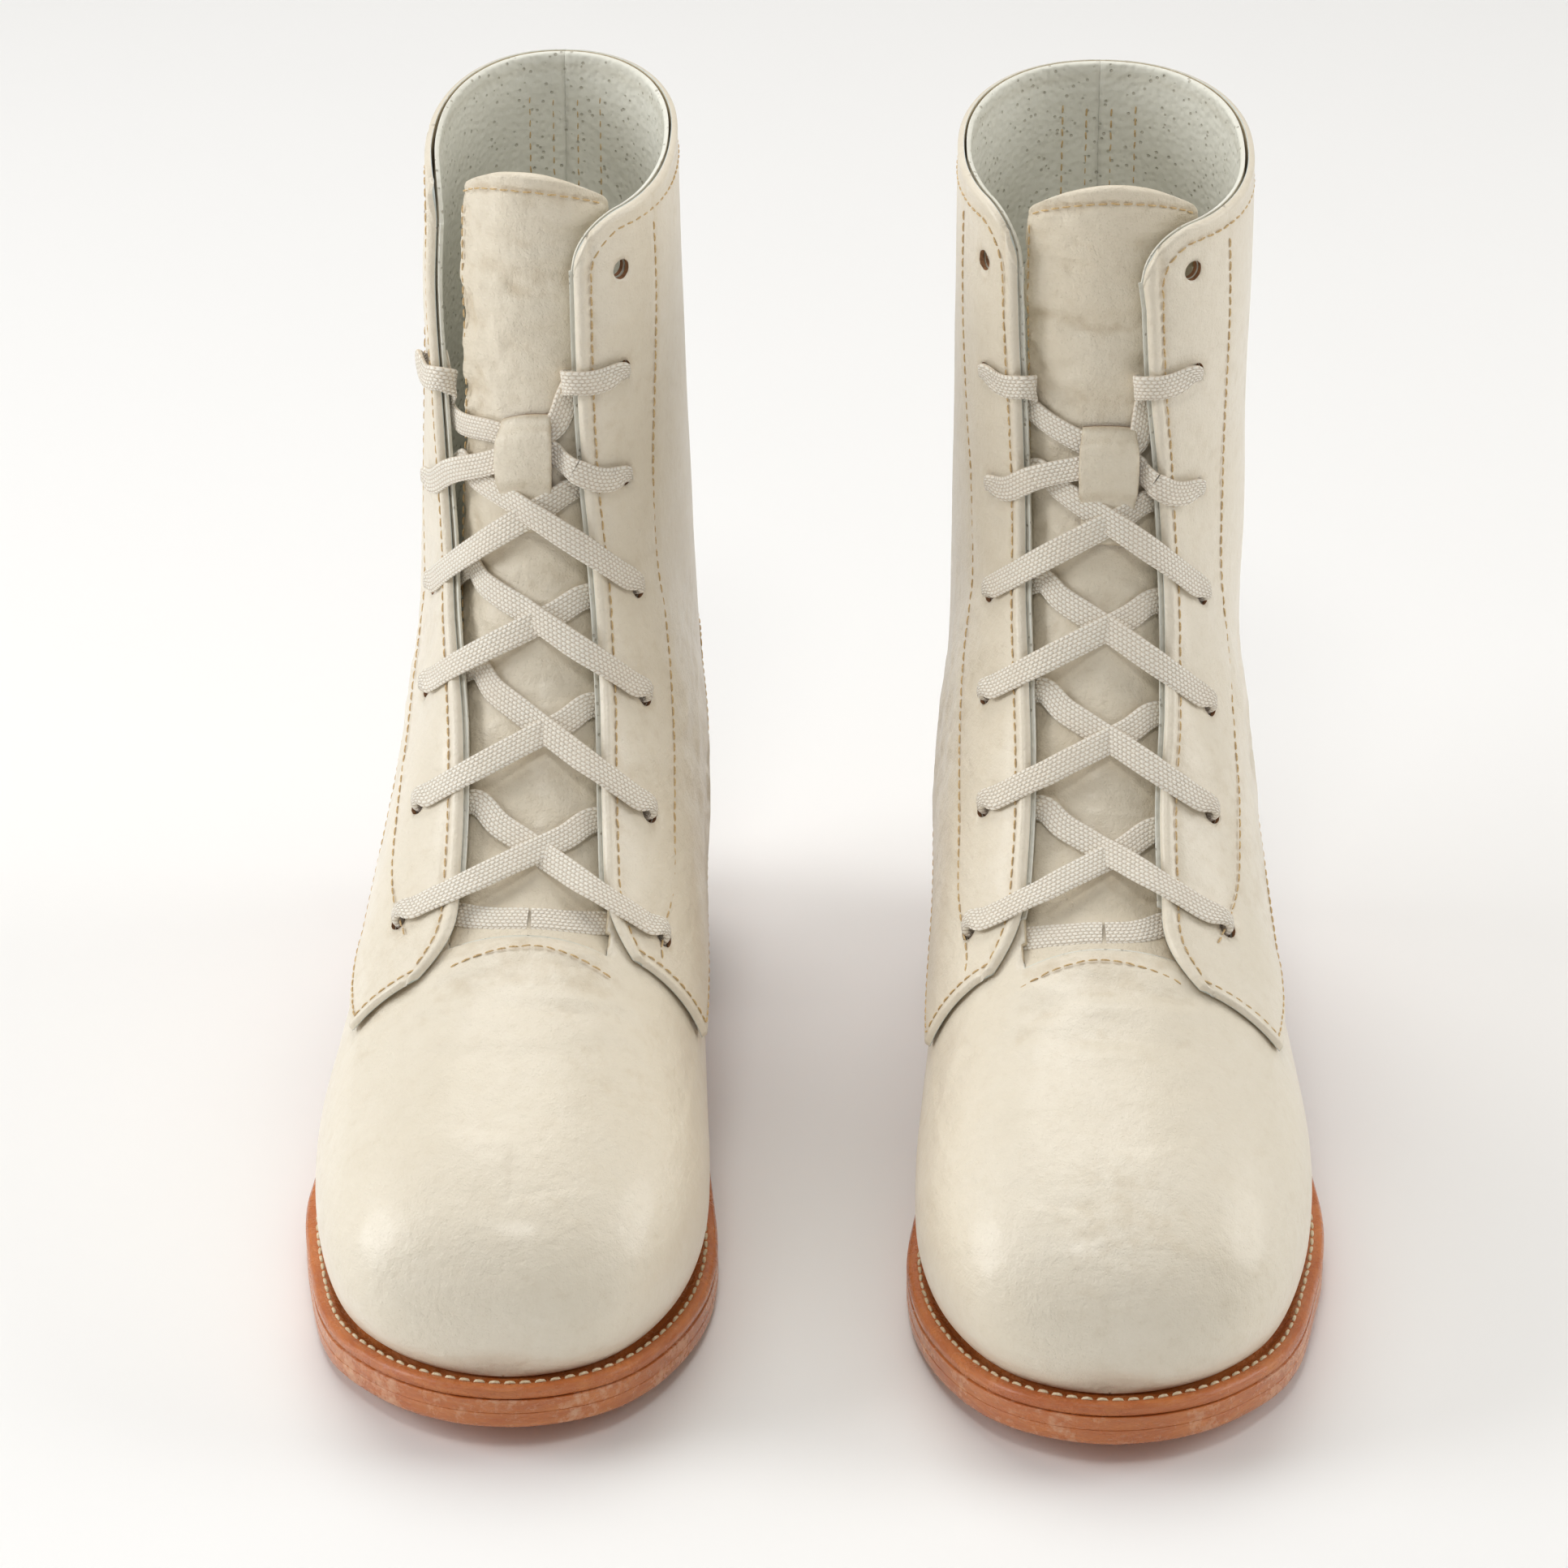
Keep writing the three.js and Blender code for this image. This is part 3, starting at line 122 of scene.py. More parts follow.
def curve_through(rows, level=False):
    """A smooth curve through rows led by their parameter. A level one never overshoots."""
    rows = np.array(rows, float)
    keys, values = rows[:, 0], rows[:, 1:]
    if level:
        rises = np.diff(values, axis=0) / np.diff(keys)[:, None]
        a, b = rises[:-1], rises[1:]
        inside = np.where(a * b > 0, 2 * a * b / np.where(a + b == 0, 1, a + b), 0)
        slopes = np.vstack([rises[:1], inside, rises[-1:]])
    else:
        before, after = np.vstack([rows[:1], rows[:-1]]), np.vstack([rows[1:], rows[-1:]])
        slopes = (after[:, 1:] - before[:, 1:]) / (after[:, :1] - before[:, :1])

    def at(t):
        t = np.asarray(t, float)
        i = np.clip(np.searchsorted(keys, t, side="right") - 1, 0, len(keys) - 2)
        span = (keys[i + 1] - keys[i])[..., None]
        u = np.clip((t - keys[i])[..., None] / span, 0, 1)
        return (
            (2 * u**3 - 3 * u**2 + 1) * values[i] + (u**3 - 2 * u**2 + u) * span * slopes[i]
            + (3 * u**2 - 2 * u**3) * values[i + 1] + (u**3 - u**2) * span * slopes[i + 1]
        )

    return at


def soft_noise(points, size, seed):
    """Smooth noise between -1 and 1 whose bumps are about size apart, in mm."""
    lattice = np.random.default_rng(seed).uniform(-1, 1, (32, 32, 32))
    place = np.asarray(points) / size
    base = np.floor(place).astype(int)
    u = place - base
    u = u * u * (3 - 2 * u)
    total = 0
    for corner in range(8):
        step = np.array([corner & 1, corner >> 1 & 1, corner >> 2 & 1])
        weight = np.prod(np.where(step, u, 1 - u), axis=-1)
        x, y, z = np.moveaxis((base + step) % 32, -1, 0)
        total = total + weight * lattice[x, y, z]
    return total


# ---------------------------------------------------------------- shader graphs


class Wire:
    """One socket of a shader graph, with arithmetic."""

    def __init__(self, graph, socket):
        self.graph, self.socket = graph, socket

    def _math(self, operation, *values):
        sockets = dict(enumerate(values))
        return self.graph.add("ShaderNodeMath", {"operation": operation}, sockets)

    def __add__(self, other):
        return self._math("ADD", self, other)

    def __sub__(self, other):
        return self._math("SUBTRACT", self, other)

    def __rsub__(self, other):
        return self._math("SUBTRACT", other, self)

    def __mul__(self, other):
        return self._math("MULTIPLY", self, other)

    def __truediv__(self, other):
        return self._math("DIVIDE", self, other)

    def __pow__(self, other):
        return self._math("POWER", self, other)

    __radd__, __rmul__ = __add__, __mul__

    def sine(self):
        return self._math("SINE", self)

    def size(self):
        return self._math("ABSOLUTE", self)

    def floor(self):
        return self._math("FLOOR", self)


class Finish:
    """A material made of nodes."""

    def __init__(self, name):
        self.material = bpy.data.materials.new(name)
        self.material.use_nodes = True
        self.tree = self.material.node_tree
        self.tree.nodes.clear()
        self.place = self.add("ShaderNodeTexCoord", output="Object")

    def add(self, kind, settings=None, sockets=None, output=0):
        node = self.tree.nodes.new(kind)
        for key, value in (settings or {}).items():
            if key == "stops":
                while len(node.color_ramp.elements) < len(value):
                    node.color_ramp.elements.new(0.5)
                for stop, (position, colour) in zip(node.color_ramp.elements, value):
                    stop.position, stop.color = position, colour
            else:
                setattr(node, key, value)
        for key, value in (sockets or {}).items():
            if isinstance(value, Wire):
                self.tree.links.new(value.socket, node.inputs[key])
            else:
                node.inputs[key].default_value = value
        return Wire(self, node.outputs[output])

    def noise(self, scale, detail=3.0, rough=0.55, stretch=None, output=0):
        place = self.place
        if stretch:
            place = self.add("ShaderNodeMapping", None, {"Vector": place, "Scale": stretch})
        sockets = {"Vector": place, "Scale": scale, "Detail": detail, "Roughness": rough}
        return self.add("ShaderNodeTexNoise", None, sockets, output)

    def cells(self, scale, feature="F1"):
        sockets = {"Vector": self.place, "Scale": scale}
        return self.add("ShaderNodeTexVoronoi", {"feature": feature}, sockets)

    def span(self, value, low, high):
        """Stretches low to high over 0 to 1."""
        sockets = {0: value, 1: low, 2: high}
        return self.add("ShaderNodeMapRange", None, sockets)

    def blend(self, factor, a, b):
        settings = {"data_type": "RGBA"}
        return self.add("ShaderNodeMix", settings, {0: factor, 6: a, 7: b}, 2)

    def shade_by(self, name):
        return self.add("ShaderNodeAttribute", {"attribute_name": name}, None, "Fac")

    def close(self, colour, rough, bumps, constants=None, coat=None):
        """bumps is a list of (height, depth in metres); constants go on the shader's own sockets."""
        normal = None
        for height, depth in bumps:
            sockets = {"Height": height, "Distance": depth, "Strength": 1.0}
            if normal is not None:
                sockets["Normal"] = normal
            normal = self.add("ShaderNodeBump", None, sockets)
        sockets = {"Base Color": colour, "Roughness": rough, **(constants or {})}
        if normal is not None:
            sockets["Normal"] = normal
        if coat is not None:
            sockets["Coat Weight"] = coat
        shader = self.add("ShaderNodeBsdfPrincipled", None, sockets)
        self.add_output(shader)
        return self.material

    def add_output(self, shader):
        node = self.tree.nodes.new("ShaderNodeOutputMaterial")
        self.tree.links.new(shader.socket, node.inputs["Surface"])


def smooth_leather(name, light, warm, deep, rough=0.4, grain=1.0, coat=0.12):
    """Finished leather: cloudy colour, fine grain, pores and soft creases, darker by a mesh attribute
    that holds painted shade in creases, grooves and seams, and wear.
    """
    f = Finish(name)
    clouds = f.span(f.noise(22, 5, 0.6), 0.35, 0.68)
    fine = f.span(f.noise(260, 4, 0.6), 0.3, 0.7)
    worn = f.shade_by("worn")
    colour = f.blend(clouds, light, warm)
    colour = f.blend(fine * 0.12, colour, deep)
    # Darkened towards deep by the mesh attribute: painted shade in creases, grooves, seams and eyelet
    # dents, with some wear.
    colour = f.blend(f.span(worn + (fine - 0.5) * 0.35, 0.1, 1.0), colour, deep)
    pores = f.span(f.cells(1500), 0.0, 0.42)
    creases = f.noise(420, 6, 0.62, (1, 1, 0.55))
    folds = f.noise(95, 4, 0.55, (0.7, 0.7, 1.5))
    roughness = rough + clouds * 0.08 + fine * 0.07
    return f.close(
        colour, roughness,
        [(folds, 0.0011 * grain), (creases, 0.00042 * grain), (pores, 0.00007 * grain)],
        {"Specular IOR Level": 0.42, "Coat Roughness": 0.2}, coat,
    )


def lining_leather(name):
    """Pigskin: a pebbled face with groups of fine pores."""
    f = Finish(name)
    clouds = f.span(f.noise(30, 4), 0.35, 0.7)
    pebbles = f.cells(620, "SMOOTH_F1")
    dots = f.span(f.cells(420), 0.12, 0.2)
    colour = f.blend(clouds, srgb(236, 235, 224), srgb(224, 222, 209))
    colour = f.blend((1 - dots) * 0.6, colour, srgb(170, 162, 142))
    # Darker where the mesh attribute holds painted shade and wear.
    colour = f.blend(f.shade_by("worn"), colour, srgb(186, 178, 156))
    return f.close(
        colour, 0.62 + clouds * 0.12, [(pebbles, 0.00035), (dots, 0.0002)],
        {"Specular IOR Level": 0.3},
    )


def waxed_leather(name, light, dark, scuff, rough=0.3, scuffs=0.5, stretch=(1, 1, 6)):
    """Sole leather: fibres in layers, waxed along the edge and scuffed pale."""
    f = Finish(name)
    layers = f.noise(70, 6, 0.65, stretch)
    patches = f.span(f.noise(38, 5, 0.6), 0.42, 0.64)
    streaks = f.noise(300, 5, 0.7, stretch)
    scuffed = f.span(f.noise(85, 8, 0.72) * 0.7 + f.noise(600, 4, 0.6) * 0.3, 0.5, 0.62)
    colour = f.blend(f.span(layers, 0.3, 0.7), dark, light)
    colour = f.blend(patches * 0.5, colour, dark)
    colour = f.blend(f.span(streaks, 0.55, 0.8) * 0.35, colour, scuff)
    colour = f.blend(scuffed * scuffs, colour, scuff)
    # Darker by the mesh attribute for painted shade and wear; the sole layers set it to zero.
    colour = f.blend(f.shade_by("worn"), colour, srgb(96, 52, 30))
    return f.close(
        colour, rough + scuffed * 0.3 + patches * 0.1,
        [(layers, 0.0007), (streaks, 0.00035)],
        {"Specular IOR Level": 0.5, "Coat Roughness": 0.22}, 0.35 - scuffed * 0.3,
    )


PLAIT_WIDTH, PLAIT_LENGTH = 0.95, 1.3


def cotton_braid(name):
    """A flat braid: columns of small slanted plaits, from the lace's own UV map in mm."""
    f = Finish(name)
    map_place = f.add("ShaderNodeTexCoord", output="UV")
    across = f.add("ShaderNodeSeparateXYZ", None, {0: map_place}, "X")
    along = Wire(f, across.socket.node.outputs["Y"])
    column = across / PLAIT_WIDTH
    odd = column.floor() - (column.floor() / 2).floor() * 2
    lean = (column - column.floor() - 0.5).size() * 0.5
    beat = along / PLAIT_LENGTH + odd * 0.5 + lean
    plait = (((beat * math.pi).sine().size() + 0.02) ** 0.6) * (
        ((column * math.pi).sine().size() + 0.02) ** 0.5)
    fuzz = f.noise(2600, 4, 0.7)
    # The plaits' crests are painted lighter and the grooves between them darker: painted shade of the
    # weave.
    colour = f.blend(f.span(plait, 0.15, 0.75), srgb(232, 216, 192), srgb(255, 249, 236))
    colour = f.blend(f.span(f.noise(60, 3), 0.4, 0.7) * 0.3, colour, srgb(236, 220, 198))
    return f.close(
        colour, 0.86, [(plait, 0.00032), (fuzz, 0.00012)],
        {"Specular IOR Level": 0.2, "Sheen Weight": 0.35, "Sheen Roughness": 0.5},
    )


def waxed_thread(name, light, dark):
    f = Finish(name)
    twist = f.noise(1800, 2)
    colour = f.blend(f.span(twist, 0.3, 0.7), dark, light)
    return f.close(colour, 0.6, [(twist, 0.0001)], {"Specular IOR Level": 0.35})


def plain_finish(name, light, dark, rough, scale=120, depth=0.0002, metal=0.0):
    f = Finish(name)
    specks = f.noise(scale, 5, 0.65)
    colour = f.blend(f.span(specks, 0.35, 0.68), dark, light)
    return f.close(
        colour, rough + specks * 0.12, [(specks, depth)], {"Metallic": metal},
    )


CREAM = smooth_leather(
    "cream_leather", srgb(235, 226, 208), srgb(231, 221, 201), srgb(204, 187, 158), 0.34, 0.85, 0.3)
TONGUE_CREAM = smooth_leather(
    "tongue_leather", srgb(232, 222, 202), srgb(225, 213, 190), srgb(190, 170, 138), 0.4, 1.2, 0.15)
LINING = lining_leather("lining_leather")
WELT_TAN = waxed_leather(
    "welt_leather", srgb(210, 126, 64), srgb(180, 94, 44), srgb(226, 170, 118), 0.16, 0.15)
SOLE_TAN = waxed_leather(
    "sole_leather", srgb(212, 132, 72), srgb(186, 100, 48), srgb(238, 206, 176), 0.2, 0.5)
HEEL_TAN = waxed_leather(
    "heel_leather", srgb(198, 134, 88), srgb(160, 98, 58), srgb(226, 190, 156), 0.36, 0.5, (1, 1, 14))
RAW_EDGE = plain_finish("raw_leather_edge", srgb(168, 122, 84), srgb(126, 88, 58), 0.7, 700, 0.0003)
PALE_EDGE = plain_finish("pale_leather_edge", srgb(226, 214, 190), srgb(204, 188, 158), 0.6, 500)
COOL_EDGE = plain_finish("lining_edge", srgb(206, 214, 210), srgb(188, 196, 190), 0.6, 500)
THREAD = waxed_thread("tan_thread", srgb(222, 196, 148), srgb(186, 152, 104))
WELT_THREAD = waxed_thread("pale_thread", srgb(240, 226, 198), srgb(206, 182, 142))
BRAID = cotton_braid("cotton_braid")
RUBBER = plain_finish("heel_rubber", srgb(62, 46, 36), srgb(40, 30, 24), 0.7, 500, 0.0003)
BOARD = plain_finish("board", srgb(206, 172, 122), srgb(180, 142, 96), 0.75, 400)
CORK = plain_finish("cork", srgb(160, 118, 76), srgb(104, 72, 44), 0.9, 500, 0.0006)
STEEL = plain_finish("spring_steel", srgb(170, 174, 178), srgb(140, 143, 147), 0.3, 60, 0.00002, 1.0)
TIP = plain_finish("lace_tip", srgb(222, 212, 190), srgb(206, 194, 170), 0.3, 200, 0.00002)
FLOOR = plain_finish("floor", (0.9, 0.895, 0.885, 1), (0.9, 0.895, 0.885, 1), 0.6, 10, 0.0)

# ---------------------------------------------------------------- meshes


def piece(name, points, faces, materials, kinds=None, worn=None, uvs=None):
    """A mesh object from points in metres. kinds gives each face its material."""
    mesh = bpy.data.meshes.new(name)
    mesh.from_pydata(points.tolist(), [], [list(map(int, face)) for face in faces])
    for material in materials:
        mesh.materials.append(material)
    if kinds is not None:
        mesh.polygons.foreach_set("material_index", np.asarray(kinds, np.int32))
    mesh.polygons.foreach_set("use_smooth", np.ones(len(mesh.polygons), bool))
    if worn is not None:
        layer = mesh.attributes.new("worn", "FLOAT", "POINT")
        layer.data.foreach_set("value", np.asarray(worn, np.float32).ravel())
    if uvs is not None:
        corners = np.zeros(len(mesh.loops), np.int32)
        mesh.loops.foreach_get("vertex_index", corners)
        layer = mesh.uv_layers.new(name="UVMap")
        layer.data.foreach_set("uv", np.asarray(uvs, np.float32)[corners].ravel())
    mesh.update()
    made = bpy.data.objects.new(name, mesh)
    bpy.context.collection.objects.link(made)
    return made


def sheet_faces(shape, keep=None, open_ends=None):
    """Two skins and a wall round every kept edge. Kinds are 0 outer, 1 inner and 2 wall."""
    rows, columns = shape
    kept = np.ones((rows - 1, columns - 1), bool) if keep is None else keep
    i, j = np.nonzero(kept)
    a, b = i * columns + j, i * columns + j + 1
    c, d = b + columns, a + columns
    layer = rows * columns
    outer = np.stack([a, b, c, d], 1)
    inner = np.stack([a, d, c, b], 1) + layer
    ring = np.zeros((rows + 1, columns + 1), bool)
    ring[1:-1, 1:-1] = kept
    walls = []
    for p, q, step in ((a, b, (-1, 0)), (b, c, (0, 1)), (c, d, (1, 0)), (d, a, (0, -1))):
        free = ~ring[i + 1 + step[0], j + 1 + step[1]]
        if open_ends is not None and step[0] == 0:
            free &= ~((step[1] * (2 * j - columns + 2) > 0) & open_ends[i] & (
                (j == 0) | (j == columns - 2)))
        p, q = p[free], q[free]
        walls.append(np.stack([p, p + layer, q + layer, q], 1))
    walls = np.concatenate(walls)
    kinds = np.concatenate([np.zeros(len(outer)), np.ones(len(inner)), np.full(len(walls), 2)])
    return np.concatenate([outer, inner, walls]), kinds.astype(int)


def drop_loose(points, faces, worn):
    """Leaves out the points that no face uses."""
    used = np.unique(faces)
    place = np.full(len(points), -1)
    place[used] = np.arange(len(used))
    return points[used], place[faces], worn[used]


# ---------------------------------------------------------------- the last

BOOTS = (
    {
        "side": "right", "x": -60.1, "y": 4.3, "turn": -2.4, "spread": -0.09, "keeper": -5,
        "outer_on_top": True,
        "medial": [(7.5, 18), (8.5, 16.4), (9.5, 15.3), (11, 12.8), (12.5, 9.8), (14, 8.4), (16, 8)],
        "lateral": [(7.5, 17.6), (8.5, 18.4), (9.5, 21), (11, 29), (12.5, 36), (14, 37.5), (16, 38)],
        "lift": {1: (0, 0, 0, 0, 0, 0, 0), -1: (0.25, 0.3, 0.37, 0.42, 0.25, 0.05, 0)}, "sag": -7,
    },
    {
        "side": "left", "x": 77.4, "y": -2.4, "turn": -0.8, "spread": 0.09, "keeper": -1,
        "outer_on_top": False,
        "medial": [
            (7.5, 19.4), (8.5, 18), (9.5, 18.4), (11, 20.6), (12.5, 22.4), (14, 22.8), (16, 23.4)],
        "lateral": [(7.5, 14), (8.5, 14), (9.5, 15.6), (11, 15.8), (12.5, 13.6), (14, 10), (16, 7.6)],
        "lift": {1: (0.08, 0.2, 0.2, 0.25, 0.2, 0.18, 0.2), -1: (0.12, 0.1, 0, 0.1, 0, 0, 0)}, "sag": 0,
    },
)
MEDIAL_OUTLINE = (
    (0, -128), (11.4, -125.5), (22.6, -118), (31.9, -104), (38.8, -84), (40.9, -62), (38, -35),
    (33.5, 0), (30, 28), (30, 58), (30.5, 88), (26.5, 110), (15, 124.5), (0, 129),
)
LATERAL_OUTLINE = (
    (0, -128), (12.6, -125.5), (25.6, -117), (38.6, -100), (45.8, -74), (49.7, -46), (47.1, -18),
    (40.5, 12), (35, 40), (32.5, 66), (31.5, 92), (26.5, 111), (15, 124.5), (0, 129),
)
# Slanting sections along the boot: where each starts on the front line and its height there,
# where it ends and its height there, its inner and outer half widths, where it is widest and
# how round it is.
SECTIONS = (
    (-128, 0, -128, 0, 0, 0, 0.5, 2),
    (-130, 11, -125.5, 0, 15, 16, 0.5, 2),
    (-127.5, 24.6, -119, 0, 27, 29.5, 0.55, 2.1),
    (-118.5, 38.2, -109, 0, 35, 38.5, 0.6, 2.2),
    (-103, 49, -95, 0, 41, 44.5, 0.65, 2.2),
    (-82, 58, -77, 0, 44.4, 49, 0.68, 2.2),
    (-58, 66.8, -57, 0, 44.6, 50.8, 0.7, 2.1),
    (-36, 75.8, -36, 0, 43.3, 49.4, 0.7, 2),
    (-15.5, 84.2, -9, 0, 41, 45.2, 0.68, 2),
    (1, 89.6, 24, 0, 38.3, 40.9, 0.66, 2),
    (14, 92.4, 60, 0, 37.4, 38.1, 0.66, 2),
    (23.5, 105, 98, 0, 35.8, 36.5, 0.64, 2.1),
    (29, 121, 129, 0, 33.2, 35, 0.6, 2.2),
    (31.5, 139.4, 131.5, 33.4, 32.2, 34, 0.56, 2.2),
    (32.5, 156.8, 123, 82.8, 31.6, 32.6, 0.52, 2.2),
    (33, 174.2, 119, 137.2, 31.4, 32, 0.5, 2.2),
    (33, 193.6, 121, 201.6, 31, 31, 0.5, 2.2),
    (34.5, 213, 123, 221, 31, 31, 0.5, 2.2),
)
COLLAR, HEEL_BACK = 16, 12
PER_SECTION, HALF = 16, 110
OUTLINE_STEPS = 160
HEEL_END = 129
OUTSOLE, MIDSOLE, WELT, GAP = 4.4, 3.2, 3.2, 0.4
WELT_WIDTH, HEEL_HEIGHT = 5.8, 35
SOLE = OUTSOLE + MIDSOLE + WELT + 3 * GAP


def sole_height(y):
    spring = np.maximum(-48 - np.asarray(y, float), 0) / 87
    return 8.4 * spring**2 + HEEL_HEIGHT * smooth_step(-40, 84, y)


def feather_height(y):
    return sole_height(y) + SOLE


def outline_side(points, offset):
    points = np.array(points, float)
    runs = run_length(points)
    keyed = np.column_stack([runs, points])
    front = [-keyed[1, 0], -keyed[1, 1], keyed[1, 2]]
    rear = [2 * runs[-1] - keyed[-2, 0], -keyed[-2, 1], keyed[-2, 2]]
    curve = curve_through(np.vstack([front, keyed, rear]))
    t = np.linspace(0, runs[-1], OUTLINE_STEPS + 1)
    way = unit(curve(t + 0.05) - curve(t - 0.05))
    out = curve(t) + offset * np.column_stack([way[:, 1], -way[:, 0]])
    out[:, 0] = np.maximum(out[:, 0], 0.01)
    out[0] = (0, points[0, 1] - offset)
    out[-1] = (0, points[-1, 1] + offset)
    return out


def width_at(side, y):
    return np.interp(y, side[:, 1], side[:, 0], left=0, right=0)


FEATHER = {1: outline_side(MEDIAL_OUTLINE, 0), -1: outline_side(LATERAL_OUTLINE, 0)}


class Last:
    """The outer skin of the vamp: rows are sections, columns run from the outer side over the front."""

    def __init__(self, spread):
        rows = [(i, *section) for i, section in enumerate(SECTIONS)]
        tip, first = rows[0], rows[1]
        ghost = (-1, first[1], -first[2], first[3], 0, -first[5], -first[6], tip[7], tip[8])
        self.section = curve_through([ghost, *rows])
        self.spread = spread
        self.rows = (len(SECTIONS) - 1) * PER_SECTION
        points, reach = [], []
        for i in range(self.rows + 1):
            outer, outer_length = self.half_row(i / PER_SECTION, -1)
            inner, inner_length = self.half_row(i / PER_SECTION, 1)
            points.append(np.concatenate([outer[:0:-1], inner]))
            reach.append((outer_length, inner_length))
        self.points, self.reach = np.array(points), np.array(reach)
        down, across = np.gradient(self.points, axis=0), np.gradient(self.points, axis=1)
        normals = np.cross(across, down)
        seam = normals[HEEL_BACK * PER_SECTION:, 0] + normals[HEEL_BACK * PER_SECTION:, -1]
        normals[HEEL_BACK * PER_SECTION:, 0] = seam
        normals[HEEL_BACK * PER_SECTION:, -1] = seam
        normals[0] = normals[1]
        self.normals = unit(normals)

    def half_row(self, t, side):
        front, rise, back, lift, inner, outer, wide, rounding = self.section(t)
        seat = feather_height(min(back, HEEL_END))
        end = 0 if t >= HEEL_BACK else width_at(FEATHER[side], min(back, HEEL_END))
        width = max(inner if side > 0 else outer, end + 1e-3, 1e-3)
        sweep = math.acos(min((end / width) ** (rounding / 2), 1))
        depth = (1 - wide) / max(math.sin(sweep), 1e-3) ** (2 / rounding)
        angle = np.linspace(0, 1, 261) * (math.pi / 2 + sweep)
        past = angle - math.pi / 2
        power = 2 / rounding
        early = past <= 0
        along = np.where(
            early, wide * (1 - np.maximum(np.cos(angle), 0) ** power),
            wide + depth * np.maximum(np.sin(past), 0) ** power)
        x = width * np.where(
            early, np.maximum(np.sin(angle), 0) ** power, np.maximum(np.cos(past), 0) ** power)
        z = mix(seat + rise, seat + lift, along)
        opened = 1 + self.spread * np.maximum((z - 60) / 190, 0)
        dense = np.column_stack([side * x * opened, mix(front, back, along), z])
        runs = run_length(dense)
        want = np.linspace(0, runs[-1], HALF + 1)
        return np.column_stack([np.interp(want, runs, dense[:, k]) for k in range(3)]), runs[-1]

    def at(self, t, share, offset=0.0, normal_too=False):
        """Points at sections and shares of their rows, moved off the skin by an offset."""
        t, share, offset = np.broadcast_arrays(*[np.asarray(v, float) for v in (t, share, offset)])
        row = np.clip(t * PER_SECTION, 0, self.rows - 1e-6)
        column = np.clip((share + 1) * HALF, 0, 2 * HALF - 1e-6)
        i, j = row.astype(int), column.astype(int)
        u, v = (row - i)[..., None], (column - j)[..., None]

        def pick(grid):
            upper = mix(grid[i, j], grid[i, j + 1], v)
            return mix(upper, mix(grid[i + 1, j], grid[i + 1, j + 1], v), u)

        normals = unit(pick(self.normals))
        points = pick(self.points) + normals * offset[..., None]
        return (points, normals) if normal_too else points

    def reach_at(self, t, side):
        rows = np.arange(self.rows + 1) / PER_SECTION
        return np.interp(t, rows, self.reach[:, 1 if side > 0 else 0])

    def share(self, t, distance):
        distance = np.asarray(distance, float)
        return distance / np.where(distance > 0, self.reach_at(t, 1), self.reach_at(t, -1))

    def share_at_height(self, t, side, height_of):
        shares = np.linspace(1, 0, 401)
        points = self.at(t, side * shares)
        heights = points[:, 2] - feather_height(np.minimum(points[:, 1], HEEL_END))
        above = heights >= height_of(points[:, 1], side)
        return shares[int(np.argmax(above))] if above.any() else 0.0


def quarter_edge(y, side):
    """The height of the quarter's lower edge over the feather line."""
    return mix(41, 50, smooth_step(20, 120, y)) if side > 0 else np.full_like(np.asarray(y, float), 50)


LAP = 9
UPPER, LINING_THICK = 1.6, 1.1
QUARTER_IN = 2.2 * GAP
QUARTER_OUT = QUARTER_IN + UPPER
LINING_OUT = QUARTER_IN - 1.7 * GAP
LINING_IN = LINING_OUT - LINING_THICK
LACE_WIDTH, LACE_THICK = 6.4, 1.2
LACE_OVER = QUARTER_OUT + 0.35 + LACE_THICK / 2
LACE_UNDER = LINING_IN - 2.0 * GAP - LACE_THICK / 2
TONGUE_TOP = LACE_UNDER - LACE_THICK / 2 - 0.6
TONGUE_THICK = 1.8
KEEPER_WIDTH = 14.5
THROAT, WING_END = 6.88, 9.33
HEM, CORNER = 3.4, 13.0              # a seam's inset and the round of the collar's corners
EDGE_LINES = (0, 0.25, 0.6, 1.1, 1.8, 2.6, 3.4, 4.4)
TONGUE_END, TONGUE_ARCH, TONGUE_PITCH = 16.55, 0.42, 19.4
KEEPER_LOW, KEEPER_HIGH = 11.55, 13.18
TIPS = {1: (6.93, 7.15), -1: (6.5, 6.46)}
FACING_TURN = 0.85
EYELET_SECTIONS = (15.35, 14.1, 12.7, 11.2, 9.9, 8.67, 7.5)
EYELET_INSETS = (12, 13.5, 14.5, 15.5, 15.5, 15.5, 18)
EYELET_RADIUS = 2.5
NAMES = {1: "medial", -1: "lateral"}


